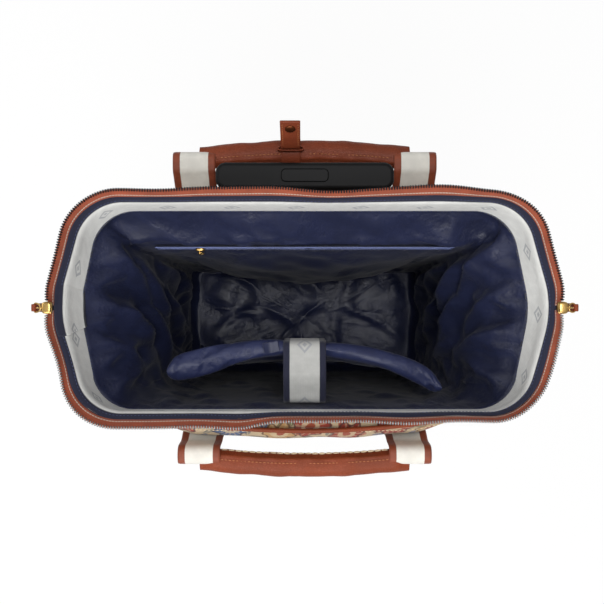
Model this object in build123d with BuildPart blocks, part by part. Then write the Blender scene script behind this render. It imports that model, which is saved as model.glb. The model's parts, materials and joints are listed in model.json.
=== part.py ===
from build123d import *
import os

# Rolling backpack with a framed mouth, carry handles front and rear, and a trolley handle.
# Front is -Y, rear is +Y, the floor is Z = 0, all sizes in millimetres.

os.makedirs("parts", exist_ok=True)

# Bag body
body_half_width = 170.0
body_half_depth = 99.0
body_side_bow = 4.0
body_front_radius = 16.0
body_rear_radius = 30.0
base_height = 34.0
base_cover_rise = 50.0
base_edge_round = 10.0
flare_drop = 150.0
cloth = 2.0
slip = 0.3

# Mouth
mouth_height = 430.0
mouth_corner_half = 199.0
mouth_hinge_half = 226.0
mouth_corner_radius = 48.0
hinge_radius = 90.0
flare_height_shares = (0.0, 0.45, 0.76, 1.0)
flare_width_shares = (0.0, 0.22, 0.62, 1.0)
tape_width = 36.0
tape_thickness = 1.5
tape_inset = 5.8
tape_foot_inset = 7.0
tape_rear_foot_inset = 10.0
frame_wire_radius = 1.6
frame_drop = 5.0
frame_end_gap = 4.0

# Main zip
zip_tape_thickness = 1.0
zip_flange = 7.0
zip_rise = 7.0
zip_overhang = 2.0
zip_chain_radius = 1.4
zip_chain_overhang = 1.5
zip_seat = 0.1
zip_half_gap = 6.0
slider_length = 11.0
slider_width = 8.0
slider_height = 7.0
slider_out = 2.6
bridge_reach = 4.6
bridge_height = 6.6
bridge_wall = 1.3
bridge_width = 2.4
pull_length = 11.0
pull_width = 9.0
pull_wire = 1.4
pull_corner = 2.0
pull_droop = 35.0
pull_tab_width = 8.0
pull_tab_length = 36.0
pull_tab_thickness = 2.4

# Lining
lining_cloth = 1.2
board_thickness = 4.0
board_inset = 15.0
board_rear_gap = 44.0
lining_side_gap = 3.0
lining_front_gap = 4.0
lining_floor_inset = 15.0
lining_rear_radius = 12.0
lining_least_radius = 4.0
lining_floor_rear_gap = 49.0
lining_low_rise = 20.0
lining_low_rear_gap = 46.0
lining_mid_rear_gap = 41.0
pocket_line_drop = 85.0
pocket_line_rear_gap = 36.0
back_board_thickness = 3.0
back_board_side_gap = 48.0
back_board_drop = 60.0

# Wall pocket
pocket_side_gap = 30.0
pocket_cloth = 1.2
pocket_belly_share = 0.18
pocket_bulges = (6.0, 28.0, 16.0, 2.0)
pocket_low = 110.0
pocket_seat = 0.3
inner_zip_side_gap = 22.0
inner_zip_height = 14.0
inner_zip_thickness = 1.2
inner_slider_end_gap = 44.0
inner_slider_length = 9.0
inner_slider_height = 7.0
inner_slider_depth = 4.0
inner_slot_clearance = 0.3
inner_bridge_reach = 3.6
inner_bridge_height = 5.6
inner_bridge_wall = 1.1
inner_bridge_width = 2.0
inner_pull_length = 16.0
inner_pull_width = 7.0
inner_pull_wire = 1.2
inner_pull_corner = 1.6

# Laptop sleeve
sleeve_side_gap = 37.0
sleeve_thickness = 10.0
sleeve_drop = 55.0
sleeve_top_end_gap = 37.0
sleeve_top_middle_gap = 64.0
sleeve_foot_side_gap = 42.0
sleeve_foot_end_gap = 31.0
sleeve_foot_middle_gap = 33.0
sleeve_edge_round = 3.0
strap_width = 40.0
strap_thickness = 1.6
strap_wall_gap = 9.2
strap_tail_drop = 78.0
strap_bend_drop = 46.0
strap_top_drop = 37.0
strap_crown_share = 0.5
strap_bend_radius = 7.0

# Front pouch
pouch_side_gap = 14.0
pouch_low = 92.0
pouch_top_drop = 48.0
pouch_height_shares = (0.0, 0.12, 0.4, 0.76, 0.92, 1.0)
pouch_bulge = 30.0
pouch_bulge_shares = (0.14, 0.6, 0.95, 1.0, 0.86, 0.5)
pouch_shoulder_share = 0.64
pouch_shoulder_bulge_share = 0.86
piping_radius = 2.2
piping_side_share = 0.16
piping_bead_radius = 2.5
patch_width = 50.0
patch_height = 34.0
patch_thickness = 2.2
patch_corner = 4.0
plate_width = 40.0
plate_height = 24.0
plate_thickness = 1.4
plate_corner = 2.5

# Carry handles
webbing_width = 40.0
webbing_thickness = 1.8
webbing_sink = 1.0
webbing_sewn_low_drop = 120.0
webbing_leave_drop = 74.0
webbing_bend_radius = 9.0
webbing_end_drop = 12.0
grip_half_length = 100.0
grip_bow = 6.0
grip_depth = 22.0
grip_height = 21.0
front_grip_out = 46.0
rear_grip_out = 43.0
front_grip_drop = 58.0
rear_grip_drop = 56.0
rear_webbing_x = 104.0
rear_webbing_sewn_low_drop = 108.0
rear_webbing_leave_drop = 70.0
wrap_x = -13.0
wrap_width = 18.0
wrap_thickness = 1.8
wrap_rise = 58.0
wrap_lean = 15.0
wrap_bend_radius = 8.0
keeper_width = 25.0
keeper_height = 7.0
keeper_thickness = 1.4
snap_radius = 5.0
snap_thickness = 1.6
snap_end_gap = 9.0

# Shoulder straps
shoulder_gap = 12.0
shoulder_width = 48.0
shoulder_thickness = 12.0
shoulder_corner = 5.0
shoulder_top_drop = 118.0
shoulder_low = 112.0
shoulder_bow = 20.0
adjuster_width = 34.0
adjuster_height = 15.0
adjuster_thickness = 4.0
adjuster_slot_width = 27.0
adjuster_slot_height = 3.4
lower_web_width = 25.0
lower_web_thickness = 2.0

# Trolley
tube_half_spacing = 60.0
tube_out = 19.0
outer_tube_width = 24.0
outer_tube_depth = 17.0
tube_wall = 1.2
tube_clearance = 0.4
tube_corner = 5.0
cover_half_width = 76.0
cover_depth = 32.0
cover_corner = 10.0
tube_foot_height = 36.0
tube_foot_thickness = 10.0
tube_socket_depth = 6.0
bezel_thickness = 4.5
bezel_drop = 41.5
stage_gap = 0.3
collar_height = 4.8
collar_wall = 3.0
plug_flange = 3.0
plug_insert = 6.0
plug_clearance = 0.2
lock_insert = 16.0
rod_radius = 2.0
rod_bore_radius = 2.6
rod_tip_rise = 8.0
grip_bar_half_length = 80.0
grip_bar_depth = 24.0
grip_bar_height = 26.0
grip_bar_gap = 0.4
grip_bar_wall = 3.0
grip_bar_corner = 9.0
grip_bar_edge = 4.0
grip_base_thickness = 3.0
grip_base_clearance = 0.2
upper_tube_stand = 4.0
button_width = 42.0
button_depth = 11.4
button_corner = 4.0
button_clearance = 0.3
button_proud = 0.8
yoke_half_length = 70.0
yoke_depth = 9.0
yoke_thickness = 5.0
yoke_clearance = 5.0
spring_radius = 3.4
spring_wire_radius = 0.45
spring_turns = 4
spring_seat = 0.15

# Wheels and feet
wheel_radius = 30.0
wheel_width = 24.0
wheel_side_gap = 42.0
wheel_rear_gap = 5.0
tyre_thickness = 10.0
tyre_round = 4.0
axle_radius = 3.0
axle_clearance = 0.05
hub_dish = 6.0
hub_rim = 3.0
hub_boss_radius = 8.0
housing_width = 40.0
housing_front_gap = 41.0
housing_out = 9.0
housing_low = 24.0
housing_top = 78.0
housing_round = 8.0
well_clearance = 3.0
well_side_clearance = 1.5
notch_gap = 0.5
foot_front_gap = 29.0
foot_low_radius = 14.0
foot_top_radius = 17.0
foot_edge = 2.0

# Levels worked out from the sizes above
base_top = base_height + base_cover_rise
flare_height = mouth_height - flare_drop
body_corner_half = body_half_width - body_side_bow
tape_foot_height = mouth_height - tape_width
board_low = base_height + cloth + slip
lining_floor = board_low + board_thickness + slip
lining_low = lining_floor + lining_low_rise
pocket_line = mouth_height - pocket_line_drop
tape_top = mouth_height - slip
lining_top = tape_foot_height - slip

# Places worked out from the body's width and depth
board_rear = body_half_depth - board_rear_gap
lining_floor_rear = body_half_depth - lining_floor_rear_gap
lining_low_rear = body_half_depth - lining_low_rear_gap
lining_mid_rear = body_half_depth - lining_mid_rear_gap
pocket_line_rear = body_half_depth - pocket_line_rear_gap
back_board_half_width = body_half_width - back_board_side_gap
pocket_half_width = body_half_width - pocket_side_gap
inner_zip_half_width = body_half_width - inner_zip_side_gap
inner_slider_x = inner_slider_end_gap - inner_zip_half_width
sleeve_half_width = body_half_width - sleeve_side_gap
sleeve_foot_half_width = body_half_width - sleeve_foot_side_gap
sleeve_top_end = body_half_depth - sleeve_top_end_gap
sleeve_top_middle = body_half_depth - sleeve_top_middle_gap
sleeve_foot_end = body_half_depth - sleeve_foot_end_gap
sleeve_foot_middle = body_half_depth - sleeve_foot_middle_gap
pouch_half_width = body_half_width - pouch_side_gap
front_grip_reach = body_half_depth + front_grip_out
rear_grip_reach = body_half_depth + rear_grip_out
shoulder_x = cover_half_width + shoulder_gap + shoulder_width / 2
tube_y = body_half_depth + tube_out
wheel_x = body_half_width - wheel_side_gap
wheel_y = body_half_depth - wheel_rear_gap
housing_front = body_half_depth - housing_front_gap
housing_rear = body_half_depth + housing_out
foot_x = wheel_x
foot_y = foot_front_gap - body_half_depth


def save(piece, name):
    """Labels a finished piece and writes it as its own file."""
    piece.part.label = name
    export_step(piece.part, "parts/" + name + ".step")


def between(value, low, high, low_result, high_result):
    """Straight-line value at a place between two known places."""
    return low_result + (high_result - low_result) * (value - low) / (high - low)


def flare_at(height):
    """Share of the mouth's flare that the body has at a height."""
    heights = [flare_height + share * flare_drop for share in flare_height_shares]
    if height <= heights[0]:
        return flare_width_shares[0]
    for low, high, low_share, high_share in zip(
        heights, heights[1:], flare_width_shares, flare_width_shares[1:]
    ):
        if height <= high:
            return between(height, low, high, low_share, high_share)
    return flare_width_shares[-1]


def outline(height, corner_x, hinge_x, rear_y, front_y, rear_radius, front_radius):
    """Six-sided rounded outline at a height, widest at its two hinges."""
    points = (
        (corner_x, rear_y),
        (-corner_x, rear_y),
        (-hinge_x, 0),
        (-corner_x, -front_y),
        (corner_x, -front_y),
        (hinge_x, 0),
    )
    radii = (rear_radius, rear_radius, hinge_radius, front_radius, front_radius, hinge_radius)
    with BuildSketch(Plane.XY.offset(height)) as section:
        with BuildLine():
            FilletPolyline(*points, radius=radii, close=True)
        make_face()
    return section.sketch


def body_section(height, inset, rear_inset=None, front_inset=None):
    """Body's outline at a height, drawn in from the outer face by the insets."""
    flare = flare_at(height)
    rear = inset if rear_inset is None else rear_inset
    front = inset if front_inset is None else front_inset
    return outline(
        height,
        between(flare, 0, 1, body_corner_half, mouth_corner_half) - inset,
        between(flare, 0, 1, body_half_width, mouth_hinge_half) - inset,
        body_half_depth - rear,
        body_half_depth - front,
        between(flare, 0, 1, body_rear_radius, mouth_corner_radius) - inset,
        between(flare, 0, 1, body_front_radius, mouth_corner_radius) - inset,
    )


def mouth_section(height, reach):
    """Mouth's outline at a height, let out by a reach."""
    return outline(
        height,
        mouth_corner_half + reach,
        mouth_hinge_half + reach,
        body_half_depth + reach,
        body_half_depth + reach,
        mouth_corner_radius + reach,
        mouth_corner_radius + reach,
    )


def body_path(height, inset):
    """Line round the body at a height, drawn in by an inset."""
    flare = flare_at(height)
    corner_x = between(flare, 0, 1, body_corner_half, mouth_corner_half) - inset
    hinge_x = between(flare, 0, 1, body_half_width, mouth_hinge_half) - inset
    reach = body_half_depth - inset
    rear_radius = between(flare, 0, 1, body_rear_radius, mouth_corner_radius) - inset
    front_radius = between(flare, 0, 1, body_front_radius, mouth_corner_radius) - inset
    radii = (rear_radius, rear_radius, hinge_radius, front_radius, front_radius, hinge_radius)
    with BuildLine(Plane.XY.offset(height)) as path:
        FilletPolyline(
            (corner_x, reach),
            (-corner_x, reach),
            (-hinge_x, 0),
            (-corner_x, -reach),
            (corner_x, -reach),
            (hinge_x, 0),
            radius=radii,
            close=True,
        )
    return path.line


def keep_half(side, gap):
    """Keeps the rear (side 1) or front (side -1) half of the open piece, clear of the hinges."""
    span = 4 * mouth_hinge_half
    with Locations((0, side * (gap + span / 2), mouth_height)):
        Box(span, span, span, mode=Mode.INTERSECT)


def hinge_reach(inset):
    """Distance from the middle to the rounded hinge point of the mouth."""
    reach = mouth_hinge_half - inset
    depth = body_half_depth - inset
    bow = reach - (mouth_corner_half - inset)
    slant = (bow**2 + depth**2) ** 0.5
    return reach - hinge_radius * (slant - depth) / depth


# Outer shell
shell_heights = [base_top] + [flare_height + share * flare_drop for share in flare_height_shares]
with BuildPart() as outer_shell:
    loft([body_section(level, 0) for level in shell_heights], ruled=True)
    loft([body_section(level, cloth) for level in shell_heights], ruled=True, mode=Mode.SUBTRACT)
save(outer_shell, "outer_shell")

# Base cover
with BuildPart() as base_cover:
    outer_levels = (
        body_section(base_height, base_edge_round),
        body_section(base_height + base_edge_round, 0),
        body_section(base_top, 0),
    )
    loft(outer_levels, ruled=True)
    inner_levels = (
        body_section(base_height + cloth, base_edge_round + cloth),
        body_section(base_height + cloth + base_edge_round, cloth),
        body_section(base_top, cloth),
    )
    loft(inner_levels, ruled=True, mode=Mode.SUBTRACT)
    notch_length = housing_rear - housing_front + 2 * notch_gap
    notch_rise = housing_top + notch_gap
    for side in (-1, 1):
        with Locations((side * wheel_x, housing_front - notch_gap, 0)):
            Box(
                housing_width + 2 * notch_gap,
                notch_length,
                notch_rise,
                align=(Align.CENTER, Align.MIN, Align.MIN),
                mode=Mode.SUBTRACT,
            )
save(base_cover, "base_cover")

# Base board
with BuildPart() as base_board:
    board_outline = outline(
        board_low,
        body_corner_half - board_inset,
        body_half_width - board_inset,
        board_rear,
        body_half_depth - board_inset,
        lining_rear_radius,
        lining_least_radius,
    )
    extrude(board_outline, amount=board_thickness)
save(base_board, "base_board")

# Back board
with BuildPart() as back_board:
    with Locations((0, body_half_depth - cloth - slip, base_top)):
        Box(
            2 * back_board_half_width,
            back_board_thickness,
            mouth_height - back_board_drop - base_top,
            align=(Align.CENTER, Align.MAX, Align.MIN),
        )
save(back_board, "back_board")


# Lining
def lining_rear(height):
    """Outer face of the lining's rear wall at a height."""
    if height < lining_low:
        return between(height, lining_floor, lining_low, lining_floor_rear, lining_low_rear)
    if height < flare_height:
        return between(height, lining_low, flare_height, lining_low_rear, lining_mid_rear)
    return between(height, flare_height, pocket_line, lining_mid_rear, pocket_line_rear)


def lining_section(height, side_inset, rear, front_inset, inset, rear_radius):
    """Lining's outline at a height, inset for its inner face."""
    flare = flare_at(height)
    front_radius = between(flare, 0, 1, body_front_radius, mouth_corner_radius) - side_inset
    return outline(
        height,
        between(flare, 0, 1, body_corner_half, mouth_corner_half) - side_inset - inset,
        between(flare, 0, 1, body_half_width, mouth_hinge_half) - side_inset - inset,
        rear - inset,
        body_half_depth - front_inset - inset,
        rear_radius - inset,
        max(front_radius, lining_least_radius) - inset,
    )


def lining_levels(floor_lift, inset):
    """Outlines of the lining's outer or inner form, from its floor to the mouth tape."""
    floor = lining_floor + floor_lift
    side_gap = cloth + lining_side_gap
    tape_rear = body_half_depth - tape_rear_foot_inset
    tape_flare = flare_at(lining_top)
    tape_radius = between(tape_flare, 0, 1, body_rear_radius, mouth_corner_radius) - tape_foot_inset
    low_radius = lining_rear_radius
    return (
        lining_section(
            floor, lining_floor_inset, lining_floor_rear, lining_floor_inset, inset, low_radius
        ),
        lining_section(lining_low, side_gap, lining_low_rear, lining_front_gap, inset, low_radius),
        lining_section(flare_height, side_gap, lining_mid_rear, lining_front_gap, inset, low_radius),
        lining_section(pocket_line, side_gap, pocket_line_rear, lining_front_gap, inset, low_radius),
        lining_section(lining_top, tape_foot_inset, tape_rear, tape_foot_inset, inset, tape_radius),
    )


with BuildPart() as lining:
    loft(lining_levels(0, 0), ruled=True)
    loft(lining_levels(lining_cloth, lining_cloth), ruled=True, mode=Mode.SUBTRACT)
save(lining, "lining")

# Mouth tape
with BuildPart() as mouth_tape:
    outer_foot = body_section(tape_foot_height, tape_foot_inset, tape_rear_foot_inset)
    loft((outer_foot, body_section(tape_top, tape_inset)), ruled=True)
    inner_foot = body_section(
        tape_foot_height, tape_foot_inset + tape_thickness, tape_rear_foot_inset + tape_thickness
    )
    inner_top = body_section(tape_top, tape_inset + tape_thickness)
    loft((inner_foot, inner_top), ruled=True, mode=Mode.SUBTRACT)
save(mouth_tape, "mouth_tape")

# Mouth frames and main zip, one half ring at the rear and one at the front
frame_height = mouth_height - frame_drop
frame_line = body_path(frame_height, cloth + slip + frame_wire_radius)
chain_height = mouth_height + zip_rise + zip_chain_radius + zip_seat
chain_line = body_path(mouth_height, -zip_chain_overhang).moved(
    Location((0, 0, chain_height - mouth_height))
)
for side, side_name in ((1, "rear"), (-1, "front")):
    with BuildPart() as mouth_frame:
        with BuildSketch(Plane(frame_line @ 0, z_dir=frame_line % 0)):
            Circle(frame_wire_radius)
        sweep(path=frame_line)
        keep_half(side, frame_end_gap)
    save(mouth_frame, side_name + "_mouth_frame")

    with BuildPart() as zip_tape:
        extrude(mouth_section(mouth_height, 0), amount=zip_tape_thickness)
        flange_hole = mouth_section(mouth_height, -zip_flange)
        extrude(flange_hole, amount=zip_tape_thickness, mode=Mode.SUBTRACT)
        lean_top = mouth_height + zip_rise
        lean_inner = zip_overhang - zip_tape_thickness
        lean_outer_levels = (mouth_section(mouth_height, 0), mouth_section(lean_top, zip_overhang))
        lean_inner_levels = (
            mouth_section(mouth_height, -zip_tape_thickness),
            mouth_section(lean_top, lean_inner),
        )
        outer_lean = loft(lean_outer_levels, ruled=True, mode=Mode.PRIVATE)
        inner_lean = loft(lean_inner_levels, ruled=True, mode=Mode.PRIVATE)
        add(outer_lean - inner_lean)
        keep_half(side, zip_half_gap)
    save(zip_tape, side_name + "_zip_tape")

    with BuildPart() as zip_chain:
        with BuildSketch(Plane(chain_line @ 0, z_dir=chain_line % 0)):
            Circle(zip_chain_radius)
        sweep(path=chain_line)
        keep_half(side, zip_half_gap)
    save(zip_chain, side_name + "_zip_chain")

# Main zip sliders, pulls and leather tabs
slider_x = hinge_reach(-zip_chain_overhang)
slider_face = slider_x + slider_out
bridge_middle = slider_face + (bridge_reach - bridge_wall) / 2
with BuildPart() as zip_sliders:
    for side in (-1, 1):
        with Locations((side * slider_face, 0, chain_height)):
            Box(
                slider_width,
                slider_length,
                slider_height,
                align=(Align.MIN if side < 0 else Align.MAX, Align.CENTER, Align.CENTER),
            )
        with BuildSketch(Plane.XZ):
            with Locations((side * (slider_face + bridge_reach / 2), chain_height)):
                Rectangle(bridge_reach, bridge_height)
            with Locations((side * bridge_middle, chain_height)):
                Rectangle(
                    bridge_reach - bridge_wall, bridge_height - 2 * bridge_wall, mode=Mode.SUBTRACT
                )
        extrude(amount=bridge_width / 2, both=True)
save(zip_sliders, "zip_sliders")

for side, side_name in ((-1, "left"), (1, "right")):
    droop = Vector(side, 0, 0).rotate(Axis.Y, side * pull_droop)
    across = Vector(0, 1, 0)
    hang = Plane((side * bridge_middle, 0, chain_height), x_dir=across, z_dir=droop.cross(across))
    far = pull_length - pull_wire
    with BuildPart() as zip_pull:
        with BuildSketch(hang):
            with Locations((0, -(pull_length - pull_wire) / 2)):
                RectangleRounded(pull_width, pull_length, pull_corner)
                RectangleRounded(
                    pull_width - 2 * pull_wire,
                    pull_length - 2 * pull_wire,
                    pull_corner - pull_wire / 2,
                    mode=Mode.SUBTRACT,
                )
        extrude(amount=pull_wire / 2, both=True)
    save(zip_pull, side_name + "_zip_pull")

    tab_top = hang.origin + droop * far
    with BuildPart() as pull_tab:
        with Locations((tab_top.X, 0, tab_top.Z - pull_wire)):
            Box(
                pull_tab_thickness,
                pull_tab_width,
                pull_tab_length,
                align=(Align.CENTER, Align.CENTER, Align.MAX),
            )
        fillet(pull_tab.edges().filter_by(Axis.X), radius=pull_tab_thickness)
    save(pull_tab, side_name + "_pull_tab")


# Wall pocket inside
def pocket_section(height, bulge, half_width, back):
    """One crescent of the wall pocket."""
    with BuildSketch(Plane.XY.offset(height)) as section:
        with BuildLine():
            Line((-half_width, back), (half_width, back))
            ThreePointArc((half_width, back), (0, back - bulge), (-half_width, back))
        make_face()
    return section.sketch


pocket_top = pocket_line - inner_zip_height / 2
pocket_belly = between(pocket_belly_share, 0, 1, pocket_low, pocket_top)
pocket_heights = [pocket_low, pocket_belly, flare_height, pocket_top]
pocket_inner_heights = [pocket_heights[0] + pocket_cloth, *pocket_heights[1:]]
pocket_backing = lining_cloth + pocket_seat
pocket_inner_half = pocket_half_width - pocket_cloth
pocket_outer_levels = [
    pocket_section(level, bulge, pocket_half_width, lining_rear(level) - pocket_backing)
    for level, bulge in zip(pocket_heights, pocket_bulges)
]
pocket_inner_levels = [
    pocket_section(level, bulge - pocket_cloth, pocket_inner_half, lining_rear(level) - pocket_backing)
    for level, bulge in zip(pocket_inner_heights, pocket_bulges)
]
with BuildPart() as inner_pocket:
    loft(pocket_outer_levels, ruled=True)
    loft(pocket_inner_levels, ruled=True, mode=Mode.SUBTRACT)
save(inner_pocket, "inner_pocket")

# Wall pocket zip
inner_zip_y = lining_rear(pocket_top) - lining_cloth - slip - inner_zip_thickness
with BuildPart() as inner_zip_tape:
    with Locations((0, inner_zip_y, pocket_line)):
        Box(
            2 * inner_zip_half_width,
            inner_zip_thickness,
            inner_zip_height - 2 * slip,
            align=(Align.CENTER, Align.MIN, Align.CENTER),
        )
save(inner_zip_tape, "inner_zip_tape")

inner_face = inner_zip_y - inner_slot_clearance
inner_front = inner_face - inner_slider_depth
inner_bridge_middle = inner_front - (inner_bridge_reach - inner_bridge_wall) / 2
with BuildPart() as inner_zip_slider:
    with Locations((inner_slider_x, inner_face, pocket_line)):
        Box(
            inner_slider_length,
            inner_slider_depth,
            inner_slider_height,
            align=(Align.CENTER, Align.MAX, Align.CENTER),
        )
    with BuildSketch(Plane.YZ.offset(inner_slider_x)):
        with Locations((inner_front - inner_bridge_reach / 2, pocket_line)):
            Rectangle(inner_bridge_reach, inner_bridge_height)
        with Locations((inner_bridge_middle, pocket_line)):
            Rectangle(
                inner_bridge_reach - inner_bridge_wall,
                inner_bridge_height - 2 * inner_bridge_wall,
                mode=Mode.SUBTRACT,
            )
    extrude(amount=inner_bridge_width / 2, both=True)
save(inner_zip_slider, "inner_zip_slider")

with BuildPart() as inner_zip_pull:
    with BuildSketch(Plane.XZ.offset(-inner_bridge_middle)):
        with Locations((inner_slider_x, pocket_line - (inner_pull_length - inner_pull_wire) / 2)):
            RectangleRounded(inner_pull_width, inner_pull_length, inner_pull_corner)
            RectangleRounded(
                inner_pull_width - 2 * inner_pull_wire,
                inner_pull_length - 2 * inner_pull_wire,
                inner_pull_corner - inner_pull_wire / 2,
                mode=Mode.SUBTRACT,
            )
    extrude(amount=inner_pull_wire / 2, both=True)
save(inner_zip_pull, "inner_zip_pull")


# Laptop sleeve
def sleeve_section(height, half_width, end, middle):
    """Padded sleeve's curved band at a height."""
    far_end = end + sleeve_thickness
    far_middle = middle + sleeve_thickness
    with BuildSketch(Plane.XY.offset(height)) as section:
        with BuildLine():
            ThreePointArc((-half_width, -end), (0, -middle), (half_width, -end))
            Line((half_width, -end), (half_width, -far_end))
            ThreePointArc((half_width, -far_end), (0, -far_middle), (-half_width, -far_end))
            Line((-half_width, -far_end), (-half_width, -end))
        make_face()
    return section.sketch


sleeve_top = mouth_height - sleeve_drop
sleeve_foot = lining_floor + lining_cloth + slip
with BuildPart() as laptop_sleeve:
    sleeve_levels = (
        sleeve_section(sleeve_foot, sleeve_foot_half_width, sleeve_foot_end, sleeve_foot_middle),
        sleeve_section(sleeve_top, sleeve_half_width, sleeve_top_end, sleeve_top_middle),
    )
    loft(sleeve_levels, ruled=True)
    fillet(laptop_sleeve.faces().sort_by(Axis.Z)[-1].edges(), radius=sleeve_edge_round)
save(laptop_sleeve, "laptop_sleeve")

# Closing strap over the sleeve
strap_front = -(body_half_depth - strap_wall_gap)
strap_rear = -sleeve_top_middle + slip + strap_thickness / 2
strap_crown = between(strap_crown_share, 0, 1, strap_front, strap_rear)
with BuildPart() as sleeve_strap:
    with BuildSketch(Plane.YZ):
        with BuildLine() as strap_line:
            FilletPolyline(
                (strap_front, mouth_height - strap_tail_drop),
                (strap_front, mouth_height - strap_bend_drop),
                (strap_crown, mouth_height - strap_top_drop),
                (strap_rear, mouth_height - strap_bend_drop),
                (strap_rear, mouth_height - strap_tail_drop),
                radius=strap_bend_radius,
            )
        trace(strap_line.line, line_width=strap_thickness)
    extrude(amount=strap_width / 2, both=True)
save(sleeve_strap, "sleeve_strap")

# Front pouch
pouch_back = body_half_depth + slip
pouch_top = mouth_height - pouch_top_drop
pouch_heights = [between(share, 0, 1, pouch_low, pouch_top) for share in pouch_height_shares]


def pouch_section(height, bulge, half_width, back):
    """Pouch's outline at a height: a flat back and a full-shouldered front."""
    shoulder_x = pouch_shoulder_share * half_width
    shoulder = back + pouch_shoulder_bulge_share * bulge
    with BuildSketch(Plane.XY.offset(height)) as section:
        with BuildLine():
            Line((-half_width, -back), (half_width, -back))
            Spline(
                (half_width, -back),
                (shoulder_x, -shoulder),
                (0, -(back + bulge)),
                (-shoulder_x, -shoulder),
                (-half_width, -back),
            )
        make_face()
    return section.sketch


def pouch_bulge_at(height):
    """Bulge of the pouch's middle at a height."""
    for low, high, low_share, high_share in zip(
        pouch_heights, pouch_heights[1:], pouch_bulge_shares, pouch_bulge_shares[1:]
    ):
        if height <= high:
            return pouch_bulge * between(height, low, high, low_share, high_share)
    return pouch_bulge * pouch_bulge_shares[-1]


hollow_heights = [pouch_heights[0] + cloth, *pouch_heights[1:-1], pouch_heights[-1] - cloth]
hollow_half = pouch_half_width - 2 * cloth
with BuildPart() as front_pouch:
    pouch_levels = [
        pouch_section(level, share * pouch_bulge, pouch_half_width, pouch_back)
        for level, share in zip(pouch_heights, pouch_bulge_shares)
    ]
    loft(pouch_levels, ruled=True)
    hollow_levels = [
        pouch_section(level, pouch_bulge_at(level) - cloth, hollow_half, pouch_back)
        for level in hollow_heights
    ]
    loft(hollow_levels, ruled=True, mode=Mode.SUBTRACT)
save(front_pouch, "front_pouch")

# Piping round the pouch
piping_half = pouch_half_width + piping_side_share * piping_radius
piping_end = pouch_back + piping_radius
piping_low = pouch_low - piping_radius
piping_top = pouch_top + piping_radius
with BuildPart() as pouch_piping:
    for row, share in ((piping_top, pouch_bulge_shares[-1]), (piping_low, pouch_bulge_shares[0])):
        row_middle = piping_end + share * pouch_bulge
        with BuildLine(Plane.XY.offset(row)) as piping_row:
            ThreePointArc((-piping_half, -piping_end), (0, -row_middle), (piping_half, -piping_end))
        with BuildSketch(Plane(piping_row.line @ 0, z_dir=piping_row.line % 0)):
            Circle(piping_radius)
        sweep(path=piping_row.line)
        with Locations((-piping_half, -piping_end, row), (piping_half, -piping_end, row)):
            Sphere(piping_bead_radius)
    for side in (-1, 1):
        with Locations((side * piping_half, -piping_end, piping_low)):
            Cylinder(
                piping_radius,
                piping_top - piping_low,
                align=(Align.CENTER, Align.CENTER, Align.MIN),
            )
save(pouch_piping, "pouch_piping")

# Badge
badge_height = pouch_heights[3]
badge_back = pouch_back + pouch_bulge + 2 * slip
with BuildPart() as badge_patch:
    with BuildSketch(Plane.XZ.offset(badge_back)):
        with Locations((0, badge_height)):
            RectangleRounded(patch_width, patch_height, patch_corner)
    extrude(amount=patch_thickness)
save(badge_patch, "badge_patch")

with BuildPart() as badge_plate:
    with BuildSketch(Plane.XZ.offset(badge_back + patch_thickness)):
        with Locations((0, badge_height)):
            RectangleRounded(plate_width, plate_height, plate_corner)
    extrude(amount=plate_thickness)
    fillet(badge_plate.faces().sort_by(Axis.Y)[0].edges(), radius=plate_thickness / 2)
save(badge_plate, "badge_plate")


# Carry handles
def handle_grip(middle_y, bow, height):
    """Padded leather grip, an oval swept along a shallow bow."""
    with BuildPart() as grip:
        with BuildLine(Plane.XY.offset(height)) as bow_line:
            ThreePointArc(
                (-grip_half_length, middle_y), (0, middle_y + bow), (grip_half_length, middle_y)
            )
        with BuildSketch(
            Plane(bow_line.line @ 0, x_dir=(0, 0, 1), z_dir=bow_line.line % 0)
        ):
            Ellipse(grip_height / 2, grip_depth / 2)
        sweep(path=bow_line.line)
    return grip


def handle_web(place, web_x, low, leave, over, reach, grip_end):
    """Webbing end: sewn flat, turned out, and laid over the grip. Sizes run out from the panel."""
    flat = slip + webbing_thickness / 2
    inner_share = (web_x - webbing_width / 2) / grip_half_length
    swell = grip_bow * (1 - inner_share**2)
    inner_turn = max(flat, reach - grip_depth / 2 - webbing_thickness - slip)
    outer_turn = reach + grip_depth / 2 + swell + flat
    with BuildSketch(place) as section:
        with BuildLine() as web_line:
            FilletPolyline(
                (flat, low),
                (flat, leave),
                (inner_turn, over),
                (outer_turn, over),
                (outer_turn, grip_end),
                radius=webbing_bend_radius,
            )
        trace(web_line.line, line_width=webbing_thickness)
    return section.sketch


front_grip_height = mouth_height - front_grip_drop
save(handle_grip(-front_grip_reach, -grip_bow, front_grip_height), "front_handle_grip")

web_low = mouth_height - webbing_sewn_low_drop
web_leave = mouth_height - webbing_leave_drop
front_web_x = pouch_shoulder_share * pouch_half_width
front_web_y = pouch_back + pouch_bulge - webbing_sink
front_over = front_grip_height + grip_height / 2 + slip + webbing_thickness / 2
front_end = front_grip_height - webbing_end_drop
with BuildPart() as front_handle_webbing:
    for side in (-1, 1):
        front_place = Plane((side * front_web_x, -front_web_y, 0), x_dir=(0, -1, 0), z_dir=(-1, 0, 0))
        front_reach = front_grip_reach - front_web_y
        front_web = handle_web(
            front_place, front_web_x, web_low, web_leave, front_over, front_reach, front_end
        )
        extrude(front_web, amount=webbing_width / 2, both=True)
save(front_handle_webbing, "front_handle_webbing")

rear_grip_height = mouth_height - rear_grip_drop
save(handle_grip(rear_grip_reach, grip_bow, rear_grip_height), "rear_handle_grip")

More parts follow.
